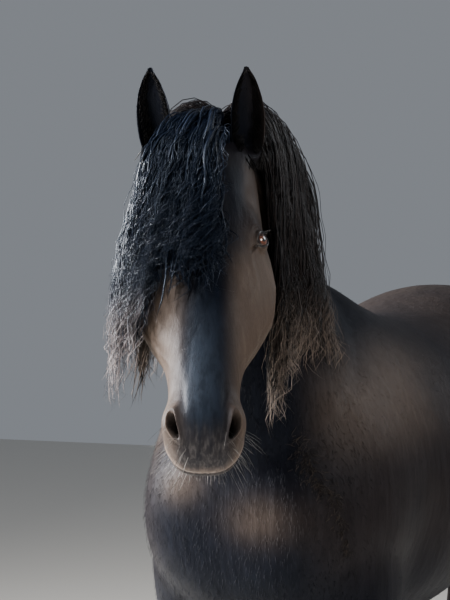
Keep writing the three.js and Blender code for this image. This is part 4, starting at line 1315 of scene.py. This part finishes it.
def coatTufts():
    roots, normals = samplePoints(skin, coatLook["count"], coatWeight)
    way = coatWay(roots, normals)
    along, z, _, out, head = coatRead(roots)
    length = coatLook["length"] * hairDraw.uniform(0.7, 1.4, len(roots))
    chest = (1 - smooth(along, -330, -200)) * smooth(z, 850, 950) * (1 - smooth(z, 1450, 1600))
    length *= np.where(head, 0.45 + 0.6 * smooth(-out, 150, 230), 1 + 0.9 * chest)
    side = unit(np.cross(normals, way))
    stray = hairDraw.normal(0, coatLook["stray"], (len(roots), 1))
    way = unit(way + side * stray)
    raised = coatLook["raised"] + coatLook["raisedOnChest"] * chest
    raised = np.where(head, coatLook["raisedOnHead"], raised)[:, None]
    tip = roots + (way + normals * raised) * length[:, None]
    middle = roots + (way * 0.5 + normals * (raised * 0.75 + 0.06)) * length[:, None]
    paths = np.stack([roots - normals * coatLook["sunk"], middle, tip], 1)
    outs = np.repeat(normals[:, None], 3, 1)
    widths = coatLook["width"] * hairDraw.uniform(0.6, 1.3, len(roots)) * np.where(head, 0.6, 1)
    return strandMesh("coatTufts", [(
        paths, outs, widths, widths * 0.5, hairDraw.random(len(roots)), "tuft", bakeSpots(roots),
    )])


hairPieces["coatTufts"] = coatTufts()


# Whiskers, lashes and the fur of the ears: each hair is given as its root, way, length and width
def shortHairs(hairs, droop):
    roots, ways, lengths, widths = (np.array(part) for part in zip(*hairs))
    ways = unit(ways)
    stations = 6
    t = np.linspace(0, 1, stations)[None, :, None]
    paths = roots[:, None] + ways[:, None] * lengths[:, None, None] * t
    paths = paths - headUp * (lengths[:, None, None] * droop * t**2)
    side = unit(np.cross(ways, headUp + headForward * 0.3))
    stray = hairDraw.normal(0, 0.10, (len(roots), 1, 1))
    paths = paths + side[:, None] * (stray * lengths[:, None, None] * t**2)
    outs = np.repeat(unit(np.cross(side, ways))[:, None], stations, 1)
    return paths, outs, widths, widths * 0.8, hairDraw.random(len(roots)), "fine", bakeSpots(roots)


def onSkin(near, way):
    hit = skinTree.ray_cast(Vector(near), Vector(way).normalized(), 0.3)
    if hit[0] is None:
        hit = skinTree.find_nearest(Vector(near))
    return np.array(hit[0]), np.array(hit[1])


whiskerLook = {
    "count": 110,
    "length": (0.014, 0.048),
    "width": 0.00024,
    "chinCount": 90,
    "chinLength": (0.008, 0.020),
    "chinWidth": 0.00026,
    "sunk": 0.001,
    "droop": 0.25,
}
lashLook = {
    "count": 46,
    "from": (-16, 9),       # along the lid, mm
    "lid": (21, 10.5),      # the upper lid's half length and height, mm
    "length": (0.008, 0.015),
    "width": 0.0003,
    "droop": 0.1,
}


def whiskers():
    hairs = []
    for i in range(whiskerLook["count"]):
        side = 1 if i % 2 else -1
        spot = headPlace(570 + 60 * hairDraw.random(), -60 - 60 * hairDraw.random(), side * 10)
        angle = hairDraw.uniform(-1.2, 1.1)
        root, normal = onSkin(spot, headSide * side * math.cos(angle) + faceOut * math.sin(angle))
        way = normal + faceDown * hairDraw.uniform(0.2, 0.9) + headSide * side * 0.2
        length = hairDraw.uniform(*whiskerLook["length"])
        hairs.append((root - normal * whiskerLook["sunk"], way, length, whiskerLook["width"]))
    for _ in range(whiskerLook["chinCount"]):
        spot = headPlace(570 + 62 * hairDraw.random(), -110, hairDraw.uniform(-34, 34))
        root, normal = onSkin(spot, -faceOut)
        way = normal + faceDown * 0.5 + hairDraw.normal(0, 0.2, 3)
        length = hairDraw.uniform(*whiskerLook["chinLength"])
        hairs.append((root - normal * whiskerLook["sunk"], way, length, whiskerLook["chinWidth"]))
    return shortHairs(hairs, whiskerLook["droop"])


def lashes():
    hairs = []
    halfLength, halfHeight = lashLook["lid"]
    for side in (1, -1):
        out, slit, brow = eyeFrame(side)
        for _ in range(lashLook["count"]):
            along = hairDraw.uniform(*lashLook["from"])
            height = halfHeight * math.sqrt(max(1 - (abs(along) / halfLength) ** 2.4, 0.05))
            root = eyeCentre(side) + (slit * along + brow * height + out * 20) * mm
            way = out + brow * 0.25 - headUp * 0.35 + slit * along * 0.015
            hairs.append((root, way, hairDraw.uniform(*lashLook["length"]), lashLook["width"]))
    return shortHairs(hairs, lashLook["droop"])


hairPieces["faceHairs"] = strandMesh("faceHairs", [whiskers(), lashes()])


# The whorl on the left of the chest, where the hair of neck and shoulder meets in curls.
whorlLook = {
    "line": [
        (136, -358, 1300), (150, -356, 1256), (172, -348, 1218),
        (193, -340, 1190), (206, -330, 1144), (214, -306, 1080),
    ],
    "count": 460,
    "length": (0.010, 0.024),
    "width": (0.0004, 0.0008),
    "spread": 0.009,
    "curl": 0.0030,
    "turns": (4, 9),        # radians from root to tip
    "stations": 10,
}


def whorl():
    hairs = []
    for _ in range(whorlLook["count"]):
        t = hairDraw.random()
        x, along, z = (float(readAlong(column, t)) for column in zip(*whorlLook["line"]))
        spot = bodyPlace(along, z, x) + hairDraw.normal(0, whorlLook["spread"] * (1.4 - t), 3)
        root, normal = onSkin(spot + np.array([0.08, -0.12, 0.02]), np.array([-0.08, 0.12, -0.02]))
        side = 1 if hairDraw.random() < 0.5 else -1
        way = np.array([0.75, 0.45, 0.25]) * side + np.array([0, 0, -0.55 - 0.4 * t])
        way = way + hairDraw.normal(0, 0.3, 3)
        way = way - normal * (way @ normal)
        length = hairDraw.uniform(*whorlLook["length"]) * (1.15 - 0.4 * t)
        width = hairDraw.uniform(*whorlLook["width"])
        hairs.append((root - normal * 0.002, unit(way) + normal * 0.28, length, width))
    roots, ways, lengths, widths = (np.array(part) for part in zip(*hairs))
    ways, lengths = unit(ways), lengths[:, None, None]
    stations = whorlLook["stations"]
    t = np.linspace(0, 1, stations)[None, :, None]
    side = unit(np.cross(ways, headUp + headForward * 0.3))[:, None]
    lift = unit(np.cross(side[:, 0], ways))[:, None]
    each = (len(roots), 1, 1)
    turn = hairDraw.uniform(0, 6.3, each) + t * hairDraw.uniform(*whorlLook["turns"], each)
    curl = whorlLook["curl"] * t**0.8
    paths = roots[:, None] + ways[:, None] * lengths * t
    paths = paths + side * np.sin(turn) * curl + lift * np.cos(turn) * curl * 0.7
    paths[:, 0] = roots
    outs = np.repeat(lift, stations, 1)
    tints = hairDraw.random(len(roots))
    return strandMesh("chestWhorl", [(paths, outs, widths, widths * 0.7, tints, "fine", bakeSpots(roots))])


hairPieces["chestWhorl"] = whorl()


# Fur on the edges of the ears' cups, and longer hair round their roots
earFurLook = {
    "edgeCount": 760,
    "edgeLength": (0.010, 0.024),
    "edgeWidth": (0.0004, 0.0008),
    "rootCount": 420,
    "rootLength": (0.020, 0.045),
    "rootWidth": (0.0008, 0.0016),
}


def earFur():
    hairs = []
    for settings in earLook.values():
        up, front, across = earFrame(settings["side"])
        base = earBase(settings)
        for _ in range(earFurLook["edgeCount"]):
            run = 0.16 + 0.76 * hairDraw.random()
            edge = 1 if hairDraw.random() < 0.5 else -1
            share = edge * (0.62 + 0.36 * hairDraw.random())
            wide = float(readAlong(earWidths, run)) * share * 0.9 + earLean(settings, run)
            point = base + up * (settings["length"] * run - settings["sunk"]) * mm + across * wide * mm
            root, normal = onSkin(point + front * 0.03, -front)
            way = up * 1.0 - across * edge * 0.75 + front * 0.45 + hairDraw.normal(0, 0.15, 3)
            length = hairDraw.uniform(*earFurLook["edgeLength"]) * (1 - 0.4 * run)
            hairs.append((root - normal * 0.001, way, length, hairDraw.uniform(*earFurLook["edgeWidth"])))
        for _ in range(earFurLook["rootCount"]):
            angle = hairDraw.uniform(0, 2 * math.pi)
            run = 0.17 + 0.08 * hairDraw.random()
            point = base + up * (settings["length"] * run - settings["sunk"]) * mm
            way = across * math.cos(angle) + front * math.sin(angle)
            root, normal = onSkin(point + way * 0.06, -way)
            way = -up * 1.0 + normal * 0.35 + hairDraw.normal(0, 0.15, 3)
            length = hairDraw.uniform(*earFurLook["rootLength"])
            hairs.append((root - normal * 0.002, way, length, hairDraw.uniform(*earFurLook["rootWidth"])))
    return strandMesh("earFur", [shortHairs(hairs, 0.0)])


hairPieces["earFur"] = earFur()


# Shader sockets as values: an expression on them adds its Math nodes.
class Wire:
    def __init__(self, look, socket):
        self.look = look
        self.socket = socket

    def math(self, operation, *values, swap=False):
        order = [*values, self] if swap else [self, *values]
        return self.look.node("ShaderNodeMath", {"operation": operation}, dict(enumerate(order)))

    def __add__(self, other):
        return self.math("ADD", other)

    def __radd__(self, other):
        return self.math("ADD", other, swap=True)

    def __sub__(self, other):
        return self.math("SUBTRACT", other)

    def __rsub__(self, other):
        return self.math("SUBTRACT", other, swap=True)

    def __mul__(self, other):
        return self.math("MULTIPLY", other)

    def __rmul__(self, other):
        return self.math("MULTIPLY", other, swap=True)

    def __truediv__(self, other):
        return self.math("DIVIDE", other)

    def __pow__(self, other):
        return self.math("POWER", other)

    def between(self, low, high, fromValue=0.0, toValue=1.0):
        inputs = {"Value": self, "From Min": low, "From Max": high, "To Min": fromValue, "To Max": toValue}
        return self.look.node("ShaderNodeMapRange", {"interpolation_type": "SMOOTHSTEP"}, inputs)


class Look:
    def __init__(self, name):
        self.material = bpy.data.materials.new(name)
        self.material.use_nodes = True
        self.tree = self.material.node_tree
        self.tree.nodes.clear()

    def node(self, kind, settings=None, inputs=None, output=0):
        made = self.tree.nodes.new(kind)
        for key, value in (settings or {}).items():
            if key == "stops":
                while len(made.color_ramp.elements) < len(value):
                    made.color_ramp.elements.new(0.5)
                for element, (place, colour) in zip(made.color_ramp.elements, value):
                    element.position, element.color = place, (*colour, 1)
            else:
                setattr(made, key, value)
        for key, value in (inputs or {}).items():
            if isinstance(value, Wire):
                self.tree.links.new(value.socket, made.inputs[key])
            else:
                made.inputs[key].default_value = value
        return Wire(self, made.outputs[output])

    def coordinates(self):
        return self.node("ShaderNodeTexCoord", output="Object")

    def turned(self, vector, scale, rotation=(0, 0, 0), location=(0, 0, 0)):
        inputs = {"Vector": vector, "Scale": scale, "Rotation": rotation, "Location": location}
        return self.node("ShaderNodeMapping", {}, inputs)

    def noise(self, vector, scale, detail=3.0, roughness=0.55):
        inputs = {"Vector": vector, "Scale": scale, "Detail": detail, "Roughness": roughness}
        return self.node("ShaderNodeTexNoise", {}, inputs)

    def attribute(self, name):
        return self.node("ShaderNodeAttribute", {"attribute_name": name}, output="Fac")

    def mix(self, factor, first, second):
        first = first if isinstance(first, Wire) else (*first, 1)
        second = second if isinstance(second, Wire) else (*second, 1)
        return self.node("ShaderNodeMix", {"data_type": "RGBA"}, {0: factor, 6: first, 7: second}, output=2)

    def bump(self, height, distance, strength, normal=None):
        inputs = {"Height": height, "Distance": distance, "Strength": strength}
        if normal is not None:
            inputs["Normal"] = normal
        return self.node("ShaderNodeBump", {}, inputs)

    def finish(self, inputs):
        shader = self.node("ShaderNodeBsdfPrincipled", {}, inputs)
        surface = self.tree.nodes.new("ShaderNodeOutputMaterial").inputs["Surface"]
        self.tree.links.new(shader.socket, surface)
        return self.material


# Short black coat: brown where the sun has bleached it and where sunlight is painted on it, a painted bluish
# sheen down the nose, grey on the muzzle, with fur as stretched noise.
# A pair holds the darkest and the lightest colour, or else the one on black coat and the one on brown and
# painted-lit coat.
coatColours = {
    "black": ((0.0009, 0.0015, 0.0034), (0.0020, 0.0026, 0.0044)),
    "brown": (0.047, 0.0345, 0.0270),
    "furTips": ((0.003, 0.004, 0.008), (0.080, 0.061, 0.049)),
    "streaks": ((0.003, 0.0045, 0.009), (0.088, 0.069, 0.056)),
    "bridge": (0.021, 0.028, 0.040),
    "muzzle": ((0.022, 0.020, 0.021), (0.052, 0.047, 0.046)),
    "lip": (0.20, 0.155, 0.130),
    "lid": (0.006, 0.006, 0.007),
    "hole": (0.003, 0.002, 0.002),
    "gleam": (0.64, 0.79, 1.0, 1),
    "tuft": ((0.0020, 0.0030, 0.0060), (0.050, 0.037, 0.029)),
    "tuftTips": ((0.005, 0.0065, 0.011), (0.066, 0.050, 0.038)),
}


# How brown the coat is and how much sunlight is painted on it: the painted brown and light, broken into patches
def bleached(look):
    patch = look.noise(look.coordinates(), 2.6, 4.0, 0.6)
    return look.attribute("brown") * patch.between(0.25, 0.62, 0.55, 1.15)


def coatLooks():
    look = Look("friesianCoat")
    where = look.coordinates()
    hollow = look.noise(where, 7.0, 3.0)
    fur = look.noise(look.turned(where, (900, 700, 75)), 1.0, 2.0, 0.6)
    nap = look.noise(look.turned(where, (240, 200, 60), (0.3, 0.1, 0)), 1.0, 3.0, 0.6)
    streak = look.noise(look.turned(where, (85, 75, 9), (0.1, 0.05, 0)), 1.0, 3.0, 0.6)
    brown = bleached(look)
    furTips = look.mix(brown, *coatColours["furTips"])
    streaks = look.mix(brown, *coatColours["streaks"])
    bridge = look.attribute("bridge") * streak.between(0.35, 0.65, 0.35, 0.85)
    bare = look.mix(nap.between(0.4, 0.7), *coatColours["muzzle"])
    shade = look.mix(hollow.between(0.35, 0.7), *coatColours["black"])
    # brown coat, and sunlight painted on shoulder, face and chest
    shade = look.mix(brown, shade, coatColours["brown"])
    shade = look.mix(fur.between(0.45, 0.8) * 0.35, shade, furTips)
    # a painted bluish sheen down the bridge of the nose
    shade = look.mix(bridge, shade, coatColours["bridge"])
    shade = look.mix(look.attribute("muzzle") * 0.85, shade, bare)
    shade = look.mix(look.attribute("lip") * 0.5, shade, coatColours["lip"])
    shade = look.mix(look.attribute("lid"), shade, coatColours["lid"])
    shade = look.mix(look.attribute("hole"), shade, coatColours["hole"])
    shade = look.mix(streak.between(0.42, 0.70) * 0.35, shade, streaks)
    folds = look.noise(look.turned(where, (26, 26, 2.6), (0.12, 0, 0)), 1.0, 2.0, 0.5)
    height = fur * 0.8 + nap * 0.6 + streak * 1.1
    return look.finish({
        "Base Color": shade, "Roughness": fur * 0.18 + 0.34 + hollow * 0.06,
        "Normal": look.bump(height, 0.0016, 0.5, look.bump(folds, 0.012, 0.30)), "Specular IOR Level": 0.04,
        "Specular Tint": coatColours["gleam"], "Coat Weight": look.attribute("lid") * 0.2,
        "Coat Roughness": 0.2,
    })


# Long hair: dark and light strands with pale streaks that are painted highlights. The ends of some that hang
# low are bleached.
def hairLooks(name, colours):
    look = Look(name)
    tint = look.attribute("tint")
    along = look.attribute("along")
    across = look.attribute("across")
    streak = {"X": across * 3.5 + tint * 57.0, "Y": along * 1.6 + tint * 13.0, "Z": tint * 91.0}
    strands = look.noise(look.node("ShaderNodeCombineXYZ", {}, streak), 1.7, 4.0, 0.7)
    shade = look.mix(tint.between(0.15, 0.95), colours["dark"], colours["light"])
    # painted highlights: pale streaks along the strands
    shade = look.mix(strands.between(0.54, 0.74) * 0.6, shade, colours["paintedHighlight"])
    height = look.node("ShaderNodeSeparateXYZ", {}, {"Vector": look.coordinates()}, output=2)
    ends = along.between(0.25, 0.7) * tint.between(0.1, 0.7) * height.between(1.44, 1.60, 1.0, 0.0)
    shade = look.mix(ends * colours["bleached"], shade, colours["end"])
    return look.finish({
        "Base Color": shade, "Roughness": colours["rough"], "Normal": look.bump(strands, 0.0012, 0.8),
        "Specular IOR Level": colours["shine"], "Specular Tint": (*colours["gleam"], 1),
    })


# Coat tufts have the skin's own colours, painted sunlight included.
def tuftLooks():
    look = Look("coatTuftHair")
    brown = bleached(look)
    shade = look.mix(brown, *coatColours["tuft"])
    shade = look.mix(look.attribute("tint") * 0.3, shade, look.mix(brown, *coatColours["tuftTips"]))
    return look.finish({"Base Color": shade, "Roughness": 0.6, "Specular IOR Level": 0.06})


hoofColours = {
    "bands": ((0.008, 0.007, 0.0065), (0.026, 0.022, 0.019)),
    "grain": (0.05, 0.042, 0.035),
}


def hoofLooks():
    look = Look("hoofHorn")
    where = look.coordinates()
    grain = look.noise(look.turned(where, (260, 260, 18)), 1.0, 3.0)
    bands = look.noise(look.turned(where, (6, 6, 150)), 1.0, 3.0)
    shade = look.mix(bands.between(0.3, 0.7), *hoofColours["bands"])
    shade = look.mix(grain.between(0.5, 0.8) * 0.4, shade, hoofColours["grain"])
    return look.finish({
        "Base Color": shade, "Roughness": grain * 0.2 + 0.45, "Specular IOR Level": 0.25,
        "Normal": look.bump(grain * 0.7 + bands, 0.001, 0.5),
    })


# Brown iris with rays, a pupil as a flat oval, and a dark rim. Millimetres from the middle.
eyeColours = {
    "iris": ((0.030, 0.008, 0.003), (0.120, 0.032, 0.012)),
    "rim": (0.008, 0.004, 0.003),
    "pupil": (0.001, 0.001, 0.002),
    "white": (0.030, 0.018, 0.015),
}
pupilLook = {"halfLength": 7.5, "halfHeight": 3.6}


def eyeLooks():
    look = Look("eyeBrown")
    slit = look.attribute("slitWay")
    brow = look.attribute("browWay")
    front = look.attribute("outWay").between(8, 14)
    reach = (slit * slit + brow * brow) ** 0.5
    outwardWay = {"X": slit / (reach + 0.6), "Y": brow / (reach + 0.6), "Z": 0.0}
    rays = look.noise(look.node("ShaderNodeCombineXYZ", {}, outwardWay), 9.0, 3.0)
    iris = look.mix(rays.between(0.3, 0.7), *eyeColours["iris"])
    iris = look.mix(reach.between(9.0, 12.5), iris, eyeColours["rim"])
    oval = (slit / pupilLook["halfLength"]) ** 2.0 + (brow / pupilLook["halfHeight"]) ** 2.0
    shade = look.mix(oval.between(0.75, 1.25, 1.0, 0.0) * front, iris, eyeColours["pupil"])
    shade = look.mix(reach.between(14.5, 16.5), shade, eyeColours["white"])
    return look.finish({
        "Base Color": shade, "Roughness": 0.5, "Specular IOR Level": 0.1,
        "Coat Weight": 1.0, "Coat Roughness": 0.012,
    })


def floorLooks():
    look = Look("studioFloor")
    return look.finish({"Base Color": (0.62, 0.60, 0.56, 1), "Roughness": 0.85})


def wear(piece, material):
    piece.data.materials.clear()
    piece.data.materials.append(material)


# How brown the black coat is, with sunlight painted on it: most on the shoulder, the sides of the face and the
# flank.
# The sun has bleached shoulder and flank; the shoulder, face and chest also carry painted sunlight.
def brownAndLightAt(points):
    x, y, z = (points / mm).T
    along = y - stance["bodyForward"]
    down, out, left = headRead(points)
    face = (down > 20) & (down < 700) & (out > -300) & (np.abs(left) < 180) & (along < -480)
    height = 0.16 * smooth(z, 950, 1100) + 0.80 * smooth(z, 1210, 1370)
    shoulder = smooth(np.abs(x), 120, 205) * height * (1 - smooth(along, -120, 350))
    flank = smooth(along, 300, 800) * smooth(z, 950, 1150)
    brown = 0.03 + 0.80 * shoulder + 0.16 * flank + 0.10 * smooth(z, 900, 1150) * smooth(along, -100, 200)
    # painted patches of sunlight on the chest
    paintedSunPatches = bell(x + 99, 46) * bell(z - 1205, 38) + bell(x - 80, 70) * bell(z - 1140, 42)
    brown += 0.60 * paintedSunPatches * smooth(-along, 300, 350)
    # The face: painted light on its sides, painted shade down its middle and at the temples, and more brown
    # below the ears.
    paintedMidShade = bell(left - 6, 26) * smooth(down, 150, 230)
    paintedFaceLight = 0.12 + 0.80 * smooth(np.abs(left - 4), 26, 66) * smooth(down, 150, 260) - 0.2 * paintedMidShade
    paintedFaceLight *= 1 - 0.75 * bell(left - 52, 26) * (1 - smooth(down, 230, 300)) * smooth(down, 60, 100)
    paintedFaceLight += 0.55 * smooth(np.abs(left), 58, 80) * (1 - smooth(down, 120, 200)) * smooth(down, 40, 70)
    return np.clip(np.where(face, paintedFaceLight, brown), 0, 1)


# Where the skin is nearly bare, the painted bluish sheen down the bridge of the nose, and the lip
def markSkin():
    points = corners(skin)
    down, out, left = headRead(points)
    near = (out > -300) & (np.abs(left) < 130) & (down > 300) & (down < 700) & (points[:, 1] < -0.6)
    # the muzzle's grey gives way at its sides, where the face's painted light shows through
    muzzle = smooth(down - 0.25 * out - 20, 545, 615) * (1 - 0.75 * smooth(np.abs(left), 32, 52))
    bridge = bell(left + 6, 32) * smooth(down, 330, 470) * (1 - 0.8 * smooth(down, 530, 620))
    lip = bell(lipLevel(down, out, left) - 9, 9) * smooth(down, 565, 615)
    store(skin, "brown", brownAndLightAt(points))
    store(skin, "muzzle", np.where(near, muzzle, 0))
    store(skin, "bridge", np.where(near, bridge, 0))
    store(skin, "lip", np.where(near, lip, 0))


markSkin()
tufts = hairPieces["coatTufts"]
store(tufts, "brown", brownAndLightAt(corners(tufts)))

# "bleached" is how far the strands' ends turn to their end colour.
hairColour = {"end": (0.045, 0.034, 0.027), "bleached": 0.3, "gleam": (1, 1, 1)}
hairColours = {
    "maneHair": {
        **hairColour, "dark": (0.0020, 0.0018, 0.0026), "light": (0.0085, 0.0055, 0.0053),
        "paintedHighlight": (0.042, 0.031, 0.026), "end": (0.19, 0.15, 0.124), "bleached": 0.85,
        "rough": 0.36, "shine": 0.11,
    },
    "forelockHair": {
        **hairColour, "dark": (0.0012, 0.0024, 0.0066), "light": (0.0030, 0.0051, 0.0116),
        "paintedHighlight": (0.036, 0.048, 0.070), "end": (0.21, 0.175, 0.168), "bleached": 0.95,
        "rough": 0.34, "shine": 0.10, "gleam": (0.60, 0.77, 1.0),
    },
    "tailLongHair": {
        **hairColour, "dark": (0.0022, 0.0022, 0.0030), "light": (0.0080, 0.0074, 0.0080),
        "paintedHighlight": (0.036, 0.033, 0.033), "rough": 0.38, "shine": 0.16,
    },
    "featherHair": {
        **hairColour, "dark": (0.0020, 0.0020, 0.0028), "light": (0.0075, 0.0070, 0.0078),
        "paintedHighlight": (0.032, 0.030, 0.031), "rough": 0.42, "shine": 0.12,
    },
    "earFurHair": {
        **hairColour, "dark": (0.002, 0.002, 0.0025), "light": (0.008, 0.007, 0.007),
        "paintedHighlight": (0.030, 0.027, 0.025), "bleached": 0.4, "rough": 0.5, "shine": 0.08,
    },
    "whorlHair": {
        **hairColour, "dark": (0.010, 0.008, 0.007), "light": (0.036, 0.028, 0.023),
        "paintedHighlight": (0.10, 0.080, 0.068), "rough": 0.45, "shine": 0.10,
    },
    "whiskerHair": {
        **hairColour, "dark": (0.015, 0.014, 0.014), "light": (0.20, 0.19, 0.18),
        "paintedHighlight": (0.32, 0.30, 0.29), "bleached": 0.0, "rough": 0.35, "shine": 0.25,
    },
}
hairWorn = {
    "maneLeft": "maneHair", "maneRight": "maneHair", "forelock": "forelockHair",
    "forelockFine": "forelockHair", "tailHair": "tailLongHair", "coatTufts": "coatTuftHair",
    "faceHairs": "whiskerHair", "earFur": "earFurHair", "chestWhorl": "whorlHair",
    **{"feather_" + name: "featherHair" for name in legs},
}
materials = {name: hairLooks(name, colours) for name, colours in hairColours.items()}
materials["coatTuftHair"] = tuftLooks()
coat = coatLooks()
horn = hoofLooks()
eyeBrown = eyeLooks()

wear(skin, coat)
for hoof in hooves.values():
    wear(hoof, horn)
for eye in eyes.values():
    wear(eye, eyeBrown)
for name, piece in hairPieces.items():
    wear(piece, materials[hairWorn[name]])
print("materials", len(materials) + 3)

# What stands in for which solids
fleshNodes = ["torso", "neck", "head", *legs, "ear_left", "ear_right", "tail"]
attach(skin, "root")
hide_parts(*fleshNodes)
for name, hoof in hooves.items():
    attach(hoof, "root")
    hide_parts("hoof_" + name)
for name, eye in eyes.items():
    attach(eye, "root")
    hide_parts(name)
for name, piece in hairPieces.items():
    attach(piece, "root")
    "long_hair" if name == "tailHair" else "coat"

# Camera, light and floor
cameraLook = {"at": (1.497, -3.853, 1.600), "turn": 25.0, "pitch": -0.7, "lens": 112.5}
cameraTurn = (math.radians(90 + cameraLook["pitch"]), 0, math.radians(cameraLook["turn"]))
bpy.ops.object.camera_add(location=cameraLook["at"], rotation=cameraTurn)
camera = bpy.context.object
camera.data.lens = cameraLook["lens"]
camera.data.clip_end = 60
bpy.context.scene.camera = camera

# Area lights all point at the head and neck.
aim = Vector((0.1, -1.0, 1.45))
lights = {
    "key": {"at": (-1.9, -3.1, 4.3), "size": 0.7, "energy": 520, "colour": (1.0, 0.97, 0.93)},
    "second": {"at": (4.3, -1.3, 3.2), "size": 1.0, "energy": 150, "colour": (1.0, 0.92, 0.84)},
    "rimLeft": {"at": (-3.0, -1.5, 2.3), "size": 0.7, "energy": 1050, "colour": (1.0, 0.98, 0.96)},
    "rimRight": {"at": (2.6, 2.4, 3.4), "size": 1.4, "energy": 80, "colour": (0.9, 0.95, 1.0)},
    "sky": {"at": (1.2, -3.0, 5.4), "size": 3.0, "energy": 40, "colour": (0.62, 0.78, 1.0)},
}
for name, light in lights.items():
    turn = (aim - Vector(light["at"])).to_track_quat("-Z", "Y").to_euler()
    bpy.ops.object.light_add(type="AREA", location=light["at"], rotation=turn)
    lamp = bpy.context.object
    lamp.name = name
    lamp.data.size = light["size"]
    lamp.data.energy = light["energy"]
    lamp.data.color = light["colour"]

skyLook = {"colour": (0.80, 0.86, 0.95, 1), "strength": 0.27}
world = bpy.context.scene.world or bpy.data.worlds.new("studio")
bpy.context.scene.world = world
world.use_nodes = True
world.node_tree.nodes["Background"].inputs["Color"].default_value = skyLook["colour"]
world.node_tree.nodes["Background"].inputs["Strength"].default_value = skyLook["strength"]
print("lights", len(lights))

bpy.ops.object.select_all(action="DESELECT")
bpy.ops.mesh.primitive_plane_add(size=24, location=(0, 0, -0.001))
floor = bpy.context.object
floor.name = "studioFloor"
wear(floor, floorLooks())
